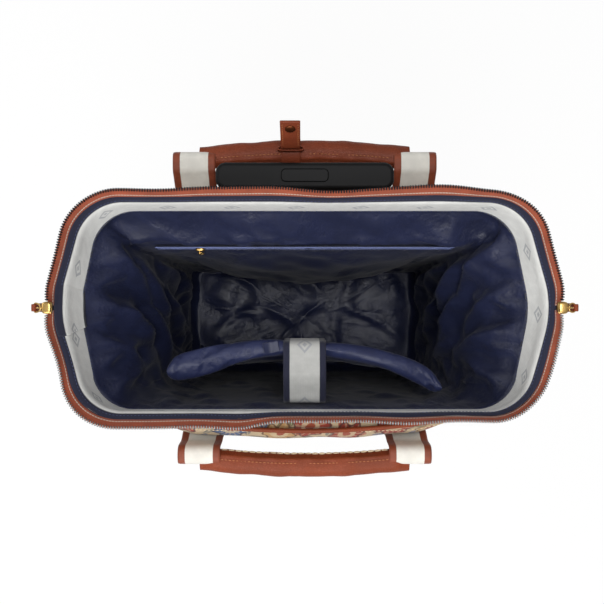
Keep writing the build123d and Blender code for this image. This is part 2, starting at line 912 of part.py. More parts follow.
rear_over = rear_grip_height + grip_height / 2 + slip + webbing_thickness / 2
rear_low = mouth_height - rear_webbing_sewn_low_drop
rear_leave = mouth_height - rear_webbing_leave_drop
rear_end = rear_grip_height - webbing_end_drop
with BuildPart() as rear_handle_webbing:
    for side in (-1, 1):
        rear_place = Plane((side * rear_webbing_x, body_half_depth, 0), x_dir=(0, 1, 0), z_dir=(1, 0, 0))
        rear_reach = rear_grip_reach - body_half_depth
        rear_web = handle_web(
            rear_place, rear_webbing_x, rear_low, rear_leave, rear_over, rear_reach, rear_end
        )
        extrude(rear_web, amount=webbing_width / 2, both=True)
save(rear_handle_webbing, "rear_handle_webbing")

# Wrap strap on the rear handle
wrap_middle = rear_grip_reach + grip_bow
loop_y = grip_depth / 2 + slip
loop_z = grip_height / 2 + slip
loop_top = rear_grip_height + loop_z + wrap_thickness
keeper_low = loop_top + slip
wrap_bend = keeper_low + keeper_height + wrap_bend_radius / 4
wrap_top = rear_grip_height + wrap_rise
with BuildPart() as wrap_strap:
    with BuildSketch(Plane.YZ.offset(wrap_x)):
        with Locations((wrap_middle, rear_grip_height)):
            Ellipse(loop_y + wrap_thickness, loop_z + wrap_thickness)
            Ellipse(loop_y, loop_z, mode=Mode.SUBTRACT)
    extrude(amount=wrap_width / 2, both=True)
    with BuildSketch(Plane.YZ.offset(wrap_x)):
        with BuildLine() as wrap_line:
            FilletPolyline(
                (wrap_middle, loop_top - wrap_thickness / 2),
                (wrap_middle, wrap_bend),
                (wrap_middle + wrap_lean, wrap_top),
                radius=wrap_bend_radius,
            )
        trace(wrap_line.line, line_width=wrap_thickness)
    extrude(amount=wrap_width / 2, both=True)
save(wrap_strap, "wrap_strap")

with BuildPart() as wrap_keeper:
    keeper_hole = keeper_width - 2 * keeper_thickness
    keeper_gap = wrap_thickness + 2 * slip
    with Locations((wrap_x, wrap_middle, keeper_low)):
        Box(
            keeper_width,
            keeper_gap + 2 * keeper_thickness,
            keeper_height,
            align=(Align.CENTER, Align.CENTER, Align.MIN),
        )
        Box(
            keeper_hole,
            keeper_gap,
            keeper_height,
            align=(Align.CENTER, Align.CENTER, Align.MIN),
            mode=Mode.SUBTRACT,
        )
save(wrap_keeper, "wrap_keeper")

snap_height = wrap_top - snap_end_gap
snap_slope = wrap_lean / (wrap_top - wrap_bend)
snap_y = wrap_middle + snap_slope * (snap_height - wrap_bend)
snap_face = snap_y - wrap_thickness * (1 + snap_slope) / 2 - snap_radius * snap_slope - slip / 2
with BuildPart() as wrap_snap:
    with BuildSketch(Plane.XZ.offset(-snap_face)):
        with Locations((wrap_x, snap_height)):
            Circle(snap_radius)
    extrude(amount=snap_thickness)
save(wrap_snap, "wrap_snap")

# Shoulder straps
panel_face = body_half_depth + slip
strap_mid = panel_face + shoulder_thickness / 2
shoulder_top = mouth_height - shoulder_top_drop
for side, side_name in ((-1, "left"), (1, "right")):
    with BuildPart() as shoulder_strap:
        with BuildLine(Plane.YZ.offset(side * shoulder_x)) as shoulder_line:
            ThreePointArc(
                (strap_mid, shoulder_low),
                (strap_mid + shoulder_bow, (shoulder_low + shoulder_top) / 2),
                (strap_mid, shoulder_top),
            )
        with BuildSketch(
            Plane(shoulder_line.line @ 0, x_dir=(1, 0, 0), z_dir=shoulder_line.line % 0)
        ):
            RectangleRounded(shoulder_width, shoulder_thickness, shoulder_corner)
        sweep(path=shoulder_line.line)
    save(shoulder_strap, side_name + "_shoulder_strap")

adjuster_top = shoulder_low - slip - shoulder_thickness / 4
adjuster_low = adjuster_top - adjuster_height
with BuildPart() as strap_adjusters:
    with Locations((-shoulder_x, panel_face, adjuster_top), (shoulder_x, panel_face, adjuster_top)):
        Box(
            adjuster_width,
            adjuster_thickness,
            adjuster_height,
            align=(Align.CENTER, Align.MIN, Align.MAX),
        )
    for share in (1, 2):
        slot_height = adjuster_top - share * adjuster_height / 3
        with Locations((-shoulder_x, panel_face, slot_height), (shoulder_x, panel_face, slot_height)):
            Box(
                adjuster_slot_width,
                adjuster_thickness,
                adjuster_slot_height,
                align=(Align.CENTER, Align.MIN, Align.CENTER),
                mode=Mode.SUBTRACT,
            )
save(strap_adjusters, "strap_adjusters")

lower_web_top = adjuster_low - slip
lower_web_low = base_top
with BuildPart() as strap_webbing:
    with Locations((-shoulder_x, panel_face, lower_web_low), (shoulder_x, panel_face, lower_web_low)):
        Box(
            lower_web_width,
            lower_web_thickness,
            lower_web_top - lower_web_low,
            align=(Align.CENTER, Align.MIN, Align.MIN),
        )
save(strap_webbing, "strap_webbing")

# Trolley levels
bezel_top = mouth_height - bezel_drop
bezel_low = bezel_top - bezel_thickness
foot_top = tube_foot_height + tube_foot_thickness
outer_tube_low = foot_top - tube_socket_depth
collar_low = bezel_top + stage_gap
collar_top = collar_low + collar_height
grip_bar_low = collar_top + grip_bar_gap
grip_bar_top = grip_bar_low + grip_bar_height
middle_tube_width = outer_tube_width - 2 * tube_wall - 2 * tube_clearance
middle_tube_depth = outer_tube_depth - 2 * tube_wall - 2 * tube_clearance
upper_tube_width = middle_tube_width - 2 * tube_wall - 2 * tube_clearance
upper_tube_depth = middle_tube_depth - 2 * tube_wall - 2 * tube_clearance
middle_corner = tube_corner - tube_wall - tube_clearance
upper_corner = middle_corner - tube_wall - tube_clearance / 2
middle_plug_low = outer_tube_low + stage_gap
middle_tube_low = middle_plug_low + plug_flange
lock_low = middle_tube_low + plug_insert + stage_gap
upper_tube_low = lock_low + plug_flange
upper_tube_top = grip_bar_low + grip_base_thickness + upper_tube_stand
tube_places = ((-tube_half_spacing, tube_y), (tube_half_spacing, tube_y))


def tube_pair(width, depth, corner, low, top):
    """Two upright rounded tubes."""
    with BuildSketch(Plane.XY.offset(low)) as section:
        with Locations(*tube_places):
            RectangleRounded(width, depth, corner)
            RectangleRounded(
                width - 2 * tube_wall, depth - 2 * tube_wall, corner - tube_wall, mode=Mode.SUBTRACT
            )
    extrude(section.sketch, amount=top - low)


def block_pair(width, depth, corner, low, top, mode=Mode.ADD):
    """Two upright rounded blocks, or the holes for them."""
    with BuildSketch(Plane.XY.offset(low)) as section:
        with Locations(*tube_places):
            RectangleRounded(width, depth, corner)
    extrude(section.sketch, amount=top - low, mode=mode)


# Trolley cover
with BuildPart() as trolley_cover:
    with BuildSketch(Plane.XY.offset(foot_top)):
        cover_outer = panel_face + cover_depth
        with BuildLine():
            FilletPolyline(
                (-cover_half_width, panel_face),
                (-cover_half_width, cover_outer),
                (cover_half_width, cover_outer),
                (cover_half_width, panel_face),
                radius=cover_corner,
            )
            Line((cover_half_width, panel_face), (-cover_half_width, panel_face))
        make_face()
        inner_half = cover_half_width - cloth
        inner_outer = cover_outer - cloth
        with BuildLine():
            FilletPolyline(
                (-inner_half, panel_face),
                (-inner_half, inner_outer),
                (inner_half, inner_outer),
                (inner_half, panel_face),
                radius=cover_corner - cloth,
            )
            Line((inner_half, panel_face), (-inner_half, panel_face))
        make_face(mode=Mode.SUBTRACT)
    extrude(amount=bezel_low - foot_top)
save(trolley_cover, "trolley_cover")


def trolley_plate(low, thickness):
    """Rounded plate that closes one end of the trolley cover."""
    with Locations((0, panel_face, low)):
        Box(
            2 * cover_half_width,
            cover_depth,
            thickness,
            align=(Align.CENTER, Align.MIN, Align.MIN),
        )


# Bezel
with BuildPart() as trolley_bezel:
    trolley_plate(bezel_low, bezel_thickness)
    far_edges = trolley_bezel.edges().filter_by(Axis.Z).group_by(Axis.Y)[-1]
    fillet(far_edges, radius=cover_corner)
    hole_width = middle_tube_width + 2 * tube_clearance
    hole_depth = middle_tube_depth + 2 * tube_clearance
    hole_corner = middle_corner + tube_clearance
    block_pair(hole_width, hole_depth, hole_corner, bezel_low, bezel_top, Mode.SUBTRACT)
save(trolley_bezel, "trolley_bezel")

# Tube foot
with BuildPart() as tube_foot:
    trolley_plate(tube_foot_height, tube_foot_thickness)
    far_edges = tube_foot.edges().filter_by(Axis.Z).group_by(Axis.Y)[-1]
    fillet(far_edges, radius=cover_corner)
    block_pair(
        outer_tube_width, outer_tube_depth, tube_corner, outer_tube_low, foot_top, Mode.SUBTRACT
    )
save(tube_foot, "tube_foot")

# Tubes
with BuildPart() as outer_tubes:
    tube_pair(outer_tube_width, outer_tube_depth, tube_corner, outer_tube_low, bezel_low)
save(outer_tubes, "outer_tubes")

with BuildPart() as middle_tubes:
    tube_pair(middle_tube_width, middle_tube_depth, middle_corner, middle_tube_low, collar_low)
save(middle_tubes, "middle_tubes")

with BuildPart() as upper_tubes:
    tube_pair(upper_tube_width, upper_tube_depth, upper_corner, upper_tube_low, upper_tube_top)
save(upper_tubes, "upper_tubes")

# Plugs at the tubes' lower ends
with BuildPart() as middle_plugs:
    flange_width = outer_tube_width - 2 * tube_wall - 2 * plug_clearance
    flange_depth = outer_tube_depth - 2 * tube_wall - 2 * plug_clearance
    flange_corner = tube_corner - tube_wall - plug_clearance
    block_pair(flange_width, flange_depth, flange_corner, middle_plug_low, middle_tube_low)
    block_pair(
        middle_tube_width - 2 * tube_wall,
        middle_tube_depth - 2 * tube_wall,
        middle_corner - tube_wall,
        middle_tube_low,
        middle_tube_low + plug_insert,
    )
save(middle_plugs, "middle_plugs")

with BuildPart() as lock_plugs:
    block_pair(
        middle_tube_width - 2 * tube_wall - 2 * plug_clearance,
        middle_tube_depth - 2 * tube_wall - 2 * plug_clearance,
        middle_corner - tube_wall - plug_clearance,
        lock_low,
        upper_tube_low,
    )
    block_pair(
        upper_tube_width - 2 * tube_wall,
        upper_tube_depth - 2 * tube_wall,
        upper_corner - tube_wall,
        upper_tube_low,
        upper_tube_low + lock_insert,
    )
    with BuildSketch(Plane.XY.offset(lock_low)):
        with Locations(*tube_places):
            Circle(rod_bore_radius)
    extrude(amount=plug_flange + lock_insert, mode=Mode.SUBTRACT)
save(lock_plugs, "lock_plugs")

# Collars on the middle tubes
with BuildPart() as middle_collars:
    block_pair(
        middle_tube_width + 2 * collar_wall,
        middle_tube_depth + 2 * collar_wall,
        middle_corner + collar_wall,
        collar_low,
        collar_top,
    )
    block_pair(
        upper_tube_width + 2 * tube_clearance,
        upper_tube_depth + 2 * tube_clearance,
        upper_corner + tube_clearance,
        collar_low,
        collar_top,
        Mode.SUBTRACT,
    )
save(middle_collars, "middle_collars")

# Trolley grip
cavity_half_length = grip_bar_half_length - grip_bar_wall
cavity_depth = grip_bar_depth - 2 * grip_bar_wall
cavity_corner = grip_bar_corner - grip_bar_wall
with BuildPart() as trolley_grip:
    with BuildSketch(Plane.XY.offset(grip_bar_low)):
        with Locations((0, tube_y)):
            RectangleRounded(2 * grip_bar_half_length, grip_bar_depth, grip_bar_corner)
    extrude(amount=grip_bar_height)
    fillet(trolley_grip.faces().sort_by(Axis.Z)[-1].edges(), radius=grip_bar_edge)
    with BuildSketch(Plane.XY.offset(grip_bar_low)):
        with Locations((0, tube_y)):
            RectangleRounded(2 * cavity_half_length, cavity_depth, cavity_corner)
    extrude(amount=grip_bar_height - grip_bar_wall, mode=Mode.SUBTRACT)
    with BuildSketch(Plane.XY.offset(grip_bar_top - grip_bar_wall)):
        with Locations((0, tube_y)):
            RectangleRounded(
                button_width + 2 * button_clearance,
                button_depth + 2 * button_clearance,
                button_corner + button_clearance,
            )
    extrude(amount=grip_bar_wall, mode=Mode.SUBTRACT)
save(trolley_grip, "trolley_grip")

# Grip base plate
with BuildPart() as grip_base:
    with BuildSketch(Plane.XY.offset(grip_bar_low)):
        with Locations((0, tube_y)):
            RectangleRounded(
                2 * (cavity_half_length - grip_base_clearance),
                cavity_depth - 2 * grip_base_clearance,
                cavity_corner - grip_base_clearance,
            )
        with Locations(*tube_places):
            RectangleRounded(upper_tube_width, upper_tube_depth, upper_corner, mode=Mode.SUBTRACT)
    extrude(amount=grip_base_thickness)
save(grip_base, "grip_base")

# Release button with its yoke
yoke_low = upper_tube_top + yoke_clearance
with BuildPart() as release_button:
    with BuildSketch(Plane.XY.offset(yoke_low)):
        with Locations((0, tube_y)):
            RectangleRounded(2 * yoke_half_length, yoke_depth, yoke_depth / 4)
    extrude(amount=yoke_thickness)
    with BuildSketch(Plane.XY.offset(yoke_low + yoke_thickness)):
        with Locations((0, tube_y)):
            RectangleRounded(button_width, button_depth, button_corner)
    extrude(amount=grip_bar_top + button_proud - yoke_low - yoke_thickness)
    fillet(release_button.faces().sort_by(Axis.Z)[-1].edges(), radius=button_proud)
save(release_button, "release_button")

# Release rods
rod_low = upper_tube_low + rod_tip_rise
with BuildPart() as release_rods:
    with BuildSketch(Plane.XY.offset(rod_low)):
        with Locations(*tube_places):
            Circle(rod_radius)
    extrude(amount=yoke_low - rod_low)
save(release_rods, "release_rods")

# Button spring
spring_low = grip_bar_low + grip_base_thickness + spring_wire_radius + spring_seat
spring_top = yoke_low - spring_wire_radius - spring_seat
spring_height = spring_top - spring_low
with BuildPart() as button_spring:
    with BuildLine() as spring_line:
        Helix(
            pitch=spring_height / spring_turns,
            height=spring_height,
            radius=spring_radius,
            center=(0, tube_y, spring_low),
        )
    with BuildSketch(Plane(spring_line.line @ 0, z_dir=spring_line.line % 0)):
        Circle(spring_wire_radius)
    sweep(path=spring_line.line, is_frenet=True)
save(button_spring, "button_spring")

# Wheel housings
with BuildPart() as wheel_housings:
    for side in (-1, 1):
        with Locations((side * wheel_x, housing_front, housing_low)):
            Box(
                housing_width,
                housing_rear - housing_front,
                housing_top - housing_low,
                align=(Align.CENTER, Align.MIN, Align.MIN),
            )
    fillet(
        wheel_housings.edges().filter_by(Axis.X).group_by(Axis.Z)[-1].group_by(Axis.Y)[-1],
        radius=housing_round,
    )
    for side in (-1, 1):
        with Locations(Location((side * wheel_x, wheel_y, wheel_radius), (0, 90, 0))):
            Cylinder(
                wheel_radius + well_clearance,
                wheel_width + 2 * well_side_clearance,
                mode=Mode.SUBTRACT,
            )
            Cylinder(axle_radius, housing_width, mode=Mode.SUBTRACT)
save(wheel_housings, "wheel_housings")

with BuildPart() as wheel_axles:
    for side in (-1, 1):
        with Locations(Location((side * wheel_x, wheel_y, wheel_radius), (0, 90, 0))):
            Cylinder(axle_radius, housing_width)
save(wheel_axles, "wheel_axles")

# Wheels
hub_radius = wheel_radius - tyre_thickness
for side, side_name in ((-1, "left"), (1, "right")):
    wheel_place = Location((side * wheel_x, wheel_y, wheel_radius), (0, 90, 0))
    with BuildPart() as wheel_hub:
        with Locations(wheel_place):
            Cylinder(hub_radius, wheel_width)
            Cylinder(axle_radius + axle_clearance, wheel_width, mode=Mode.SUBTRACT)
        for face_side in (-1, 1):
            dish_x = side * wheel_x + face_side * (wheel_width - hub_dish) / 2
            with Locations(Location((dish_x, wheel_y, wheel_radius), (0, 90, 0))):
                Cylinder(hub_radius - hub_rim, hub_dish, mode=Mode.SUBTRACT)
                Cylinder(hub_boss_radius, hub_dish)
                Cylinder(axle_radius + axle_clearance, hub_dish, mode=Mode.SUBTRACT)
    save(wheel_hub, side_name + "_wheel_hub")

    with BuildPart() as tyre:
        with Locations(wheel_place):
            Cylinder(wheel_radius, wheel_width)
            fillet(tyre.edges(), radius=tyre_round)
            Cylinder(hub_radius, wheel_width, mode=Mode.SUBTRACT)
    save(tyre, side_name + "_tyre")

# Front feet
with BuildPart() as front_feet:
    for side in (-1, 1):
        with Locations((side * foot_x, foot_y, 0)):
            Cone(
                foot_low_radius,
                foot_top_radius,
                base_height,
                align=(Align.CENTER, Align.CENTER, Align.MIN),
            )
    fillet(front_feet.edges().group_by(Axis.Z)[0], radius=foot_edge)
save(front_feet, "front_feet")
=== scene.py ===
"""Rolling backpack with its framed mouth open, dressed in cloth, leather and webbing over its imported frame."""

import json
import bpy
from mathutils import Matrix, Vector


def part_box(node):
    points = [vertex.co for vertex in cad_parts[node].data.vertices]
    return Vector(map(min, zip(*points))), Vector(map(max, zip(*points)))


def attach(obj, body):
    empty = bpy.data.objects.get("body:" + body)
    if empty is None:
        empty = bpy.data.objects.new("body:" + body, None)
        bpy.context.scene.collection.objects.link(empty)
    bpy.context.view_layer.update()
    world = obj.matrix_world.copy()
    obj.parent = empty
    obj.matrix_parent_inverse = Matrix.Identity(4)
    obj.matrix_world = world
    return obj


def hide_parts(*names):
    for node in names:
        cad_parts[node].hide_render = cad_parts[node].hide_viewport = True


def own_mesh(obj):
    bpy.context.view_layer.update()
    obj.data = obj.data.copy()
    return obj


bl_info = {
    "name": "Rolling backpack",
    "version": (1, 0, 0),
    "blender": (4, 5, 0),
    "location": "View3D > Sidebar > Backpack",
    "description": "Sews a rolling backpack over its frame: shell, lining, zip, handles, straps and trolley",
    "category": "Object",
}

import bmesh
import bpy
import numpy as np

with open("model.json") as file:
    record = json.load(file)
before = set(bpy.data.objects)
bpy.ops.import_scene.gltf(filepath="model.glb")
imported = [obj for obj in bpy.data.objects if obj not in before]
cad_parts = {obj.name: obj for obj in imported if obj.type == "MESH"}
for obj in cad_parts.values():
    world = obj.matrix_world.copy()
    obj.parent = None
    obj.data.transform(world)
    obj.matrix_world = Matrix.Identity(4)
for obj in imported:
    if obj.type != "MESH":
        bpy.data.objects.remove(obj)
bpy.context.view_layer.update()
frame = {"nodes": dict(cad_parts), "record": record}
MM = 0.001
TURN = 2 * np.pi
X, Y, Z = np.eye(3)


def box_of(node):
    """Lowest corner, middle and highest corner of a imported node, in millimetres."""
    low, high = np.round(np.asarray(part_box(node), float) / MM, 2)
    return low, (low + high) / 2, high


def dye(red, green, blue):
    """A colour given on the 0 to 255 scale of a screen, as the linear colour that a shader takes."""
    part = np.array([red, green, blue]) / 255.0
    linear = np.where(part <= 0.04045, part / 12.92, ((part + 0.055) / 1.055) ** 2.4)
    return tuple(float(value) for value in linear)


# ---------------------------------------------------------------- driving places, in millimetres

(_, _, SEAM), _, (_, HALF_DEPTH, RIM) = box_of("outer_shell")
(_, _, POUCH_FOOT), _, (POUCH_HALF, POUCH_BACK, POUCH_TOP) = box_of("front_pouch")
TRAY_FLOOR = box_of("base_cover")[0][2]
WHEEL_X = box_of("right_tyre")[1][0]
BADGE_LEVEL = box_of("badge_patch")[1][2]
POCKET_HALF = box_of("inner_pocket")[2][0]
POCKET_ZIP = box_of("inner_zip_tape")[1][2]
SLIDER_X = box_of("inner_zip_slider")[1][0]
WRAP_X = box_of("wrap_strap")[1][0]
STRAP_X = box_of("right_shoulder_strap")[1][0]
COVER_LOW, _, COVER_HIGH = box_of("trolley_cover")
CORNER_HALF, CORNER_FLARE = 166.0, 33.0
HINGE_HALF, HINGE_FLARE = 170.0, 56.0
TAPE_FOOT = 394.0
TAPE_WIDE = 37.2
WEBBING_WIDE = 40.0
STITCH_LIFT = 0.8


# ---------------------------------------------------------------- sizes and colours


def length(name, text, default):
    return bpy.props.FloatProperty(name=name, description=text, default=default, unit="LENGTH", precision=4)


def colour(name, text, default):
    return bpy.props.FloatVectorProperty(
        name=name, description=text, default=default, subtype="COLOR", size=3, min=0.0, max=1.0
    )


class BackpackSizes(bpy.types.PropertyGroup):
    """Sizes that a maker would change."""

    fold_reach: length("Fold reach", "How far the loose lining settles from where it was cut", 0.005)
    tooth_pitch: length("Tooth pitch", "Distance between teeth of the main zip", 0.0023)
    stitch_pitch: length("Stitch pitch", "Distance between stitches of the outer seams", 0.0042)
    tape_border: length("Tape border", "Width of the dark border along the mouth tape's upper edge", 0.0046)
    strap_border: length("Strap border", "Width of the dark borders of the sleeve's closing strap", 0.0060)
    spring_wire: length("Spring wire", "Thickness of the wire of the release button's spring", 0.0009)
    webbing_border: length("Webbing border", "Width of the leather borders of the handle webbing", 0.0068)


class BackpackColours(bpy.types.PropertyGroup):
    """Colours of the cloths, leathers and fittings."""

    tan_leather: colour("Tan leather", "Front handle, base and trim", dye(136, 60, 29))
    brown_leather: colour("Brown leather", "Rear handle and wrap strap", dye(130, 58, 31))
    lining_navy: colour("Lining navy", "Lining, wall pocket and sleeve", dye(25, 30, 56))
    tape_white: colour("Tape white", "Middle of the mouth tape", dye(234, 234, 230))
    tape_navy: colour("Tape navy", "Borders of the mouth tape", dye(27, 29, 50))
    webbing_ivory: colour("Webbing ivory", "Handle webbing", dye(231, 228, 219))
    zip_rust: colour("Zip rust", "Cloth of the main zip", dye(156, 72, 42))
    ground_cream: colour("Ground cream", "Ground of the tapestry", dye(202, 180, 146))
    fitting_gold: colour("Fitting gold", "Sliders, pulls and plate", dye(214, 176, 108))


# ---------------------------------------------------------------- curves


def eased(places, marks, values):
    """Smooth curve through marks: a cubic between neighbours whose slopes never overshoot the values."""
    marks = np.asarray(marks, float)
    values = np.asarray(values, float)
    step = np.diff(marks)
    slope = np.diff(values) / step
    lean = np.concatenate([slope[:1], np.zeros(len(marks) - 2), slope[-1:]])
    same = slope[:-1] * slope[1:] > 0
    total = np.where(same, slope[:-1] + slope[1:], 1.0)
    lean[1:-1] = np.where(same, 2 * slope[:-1] * slope[1:] / total, 0.0)
    places = np.clip(places, marks[0], marks[-1])
    cell = np.clip(np.searchsorted(marks, places) - 1, 0, len(marks) - 2)
    t = (places - marks[cell]) / step[cell]
    rise = values[cell + 1] - values[cell]
    bend_in = lean[cell] * step[cell]
    bend_out = lean[cell + 1] * step[cell]
    square, cube = 3 * rise - 2 * bend_in - bend_out, bend_in + bend_out - 2 * rise
    return values[cell] + bend_in * t + square * t**2 + cube * t**3


def soft_step(value, low, high):
    """Smooth ramp from 0 at low to 1 at high."""
    t = np.clip((value - low) / (high - low), 0.0, 1.0)
    return t * t * (3 - 2 * t)


def soft_fall(value, low, high):
    """Smooth ramp from 1 at low to 0 at high."""
    return soft_step(-value, -high, -low)


def hump(value, width, power=2):
    """Bell that is 1 at zero and falls off over a width."""
    return np.exp(-((value / width) ** power))


def drawn(value, power):
    """A value's size raised to a power, with its sign kept: makes circles squarer or more pointed."""
    return np.sign(value) * np.abs(value) ** power


def ripple(a, b, seed, shortest, longest, waves=26):
    """Random soft relief over two coordinates: plane waves with random directions, lengths and phases,
    each as high as it is long, scaled to about one."""
    pick = np.random.default_rng(seed)
    size = np.exp(pick.uniform(np.log(shortest), np.log(longest), waves))
    turn = pick.uniform(0, TURN, waves)
    phase = pick.uniform(0, TURN, waves)
    rate_a = TURN * np.cos(turn) / size
    rate_b = TURN * np.sin(turn) / size
    a, b = np.broadcast_arrays(np.asarray(a, float), np.asarray(b, float))
    waves_sum = np.sin(a[..., None] * rate_a + b[..., None] * rate_b + phase) @ size
    return waves_sum / np.sqrt((size**2).sum() / 2)


def coords(*parts):
    """Points from their coordinates, each a number or an array, all stretched to one shape."""
    return np.stack(np.broadcast_arrays(*parts), -1)


def lifted(flat, height):
    """Flat points given a height, one for all or one for each."""
    return np.concatenate([flat, np.broadcast_to(height, flat.shape[:-1])[..., None]], -1)


def unit(vectors):
    """Vectors made one long."""
    return vectors / np.maximum(np.linalg.norm(vectors, axis=-1, keepdims=True), 1e-9)


def run(path):
    """Distance along a path from its first point, for each point."""
    steps = np.linalg.norm(np.diff(path, axis=-2), axis=-1)
    return np.concatenate([np.zeros(steps.shape[:-1] + (1,)), np.cumsum(steps, -1)], -1)


def even(path, count):
    """The same path with points at equal distances."""
    travelled = run(path)
    wanted = np.linspace(0, travelled[-1], count)
    return np.stack([np.interp(wanted, travelled, path[:, axis]) for axis in range(path.shape[1])], -1)


def bent(points, radius, count):
    """A line through given points whose corners are rounded to a radius, with evenly spaced points."""
    points = np.asarray(points, float)
    pieces = [points[:1]]
    share = np.linspace(0, 1, 13)[:, None]
    for before, corner, after in zip(points[:-2], points[1:-1], points[2:]):
        into, away = unit(corner - before), unit(after - corner)
        half = np.arccos(np.clip(into @ away, -1, 1)) / 2
        room = 0.48 * min(np.linalg.norm(corner - before), np.linalg.norm(after - corner))
        back = min(radius * np.tan(half), room)
        first, last = corner - into * back, corner + away * back
        pieces.append((1 - share) ** 2 * first + 2 * share * (1 - share) * corner + share**2 * last)
    pieces.append(points[-1:])
    return even(np.concatenate(pieces), count)


def oval(width, height, count, power=2.0):
    """Closed superellipse profile, round at power 2 and squarer above it, drawn clockwise."""
    turn = np.linspace(0, -TURN, count + 1)
    return coords(drawn(np.cos(turn), 2 / power) * width / 2, drawn(np.sin(turn), 2 / power) * height / 2)


# ---------------------------------------------------------------- surfaces


def outline(corner, hinge, rear, front, rear_round, front_round, hinge_round, fine=1):
    """Rounded six-sided ring at each level, from the left hinge round the front and back to the left
    hinge: straight sides joined by arcs that touch both neighbours."""
    values = (corner, hinge, rear, front, rear_round, front_round, hinge_round)
    values = np.broadcast_arrays(*[np.atleast_1d(np.asarray(value, float)) for value in values])
    corner, hinge, rear, front, rear_round, front_round, hinge_round = values
    across = np.stack([-hinge, -corner, corner, hinge, corner, -corner], 1)
    deep = np.stack([0 * rear, -front, -front, 0 * rear, rear, rear], 1)
    apex = coords(across, deep)
    radius = np.stack([hinge_round, front_round, front_round, hinge_round, rear_round, rear_round], 1)
    into = unit(apex - np.roll(apex, 1, 1))
    away = np.roll(into, -1, 1)
    turn = np.arccos(np.clip((into * away).sum(-1), -1, 1))
    start = apex - into * (radius * np.tan(turn / 2))[..., None]
    inward = coords(-into[..., 1], into[..., 0])
    centre = start + inward * radius[..., None]
    arc_steps = 12 * fine
    angle = (turn[..., None] * np.linspace(0, 1, arc_steps + 1))[..., None]
    spokes = np.sin(angle) * into[:, :, None] - np.cos(angle) * inward[:, :, None]
    arcs = centre[:, :, None] + radius[..., None, None] * spokes
    parts = []
    for side in range(6):
        steps = (72 if side in (1, 4) else 16) * fine
        share = np.linspace(0, 1, steps + 1)[1:-1, None]
        begin = arcs[:, side, -1][:, None]
        finish = arcs[:, (side + 1) % 6, 0][:, None]
        parts += [arcs[:, side], begin * (1 - share) + finish * share]
    ring = np.roll(np.concatenate(parts, 1), -(arc_steps // 2), 1)
    return np.concatenate([ring, ring[:, :1]], 1)


def outward(ring):
    """Direction square to a ring and away from its middle, at each point."""
    along = np.roll(ring[:, :-1], -1, 1) - np.roll(ring[:, :-1], 1, 1)
    along = unit(np.concatenate([along, along[:, :1]], 1))
    return coords(along[..., 1], -along[..., 0])


def carried(path, profile, up=Z):
    """A profile carried along a path: its first axis lies square to the path and to up, its second square
    to both. The profile may differ from point to point."""
    along = unit(np.gradient(path, axis=0))
    across = unit(np.cross(along, np.broadcast_to(up, path.shape)))
    rise = np.cross(across, along)
    return path[:, None] + profile[..., :1] * across[:, None] + profile[..., 1:] * rise[:, None]


def closed_ends(points):
    """A tube's grid with both ends drawn to a point at the middle of its end rows."""
    first, last = (np.broadcast_to(points[row].mean(0), points[row].shape)[None] for row in (0, -1))
    return np.concatenate([first, points, last])


def pebble(long, wide, high, power=2.6, around=8, rings=5):
    """Small closed rounded body: a superellipse turned about its long axis, as a grid with two poles."""
    tilt = np.linspace(-np.pi / 2, np.pi / 2, rings)[:, None]
    turn = np.linspace(0, TURN, around + 1)[None]
    girth = drawn(np.cos(tilt), 2 / power)
    return coords(
        drawn(np.sin(tilt), 2 / power) * long / 2,
        girth * drawn(np.cos(turn), 2 / power) * wide / 2,
        girth * drawn(np.sin(turn), 2 / power) * high / 2,
    )


def flat_grid(points):
    """Two lengths for each point of a grid: across its rows and along its columns, in metres."""
    along = np.swapaxes(run(np.swapaxes(points, 0, 1)), 0, 1)
    return coords(run(points), along) * MM


def put_faces(name, points, quads, marks=None):
    """Mesh object from points in millimetres and four-cornered faces, with flat marks as its UV map.
    Points at one place are joined."""
    mesh = bpy.data.meshes.new(name)
    mesh.vertices.add(len(points))
    mesh.vertices.foreach_set("co", (points * MM).astype(np.float32).ravel())
    mesh.loops.add(quads.size)
    mesh.loops.foreach_set("vertex_index", quads.astype(np.int32).ravel())
    mesh.polygons.add(len(quads))
    mesh.polygons.foreach_set("loop_start", np.arange(0, quads.size, 4, dtype=np.int32))
    mesh.polygons.foreach_set("use_smooth", np.ones(len(quads), bool))
    if marks is not None:
        layer = mesh.uv_layers.new(name="UVMap")
        layer.data.foreach_set("uv", marks[quads.ravel()].astype(np.float32).ravel())
    mesh.update(calc_edges=True)
    work = bmesh.new()
    work.from_mesh(mesh)
    bmesh.ops.remove_doubles(work, verts=work.verts, dist=2e-6)
    return filled(name, mesh, work)


def filled(name, mesh, work):
    """Object with a mesh that takes over the faces worked on."""
    work.to_mesh(mesh)
    work.free()
    mesh.update()
    piece = bpy.data.objects.new(name, mesh)
    bpy.context.scene.collection.objects.link(piece)
    return piece


def quads_of(shape):
    """One face between each four neighbours of a grid."""
    rows, columns = shape[:2]
    index = np.arange(rows * columns).reshape(rows, columns)
    return np.stack([index[:-1, :-1], index[:-1, 1:], index[1:, 1:], index[1:, :-1]], -1).reshape(-1, 4)


def put(name, points, marks=None, turned=False):
    """Mesh object from a grid of points."""
    quads = quads_of(points.shape)[:, ::-1] if turned else quads_of(points.shape)
    marks = flat_grid(points) if marks is None else marks
    return put_faces(name, points.reshape(-1, 3), quads, marks.reshape(-1, 2))


def put_many(name, shape, origins, axes):
    """One mesh of a small grid shape repeated at many places, each given by an origin and three axes."""
    points = origins[:, None] + np.einsum("pk,nkd->npd", shape.reshape(-1, 3), axes)
    shift = (np.arange(len(origins)) * shape.shape[0] * shape.shape[1])[:, None, None]
    return outward_faces(put_faces(name, points.reshape(-1, 3), (quads_of(shape.shape) + shift).reshape(-1, 4)))


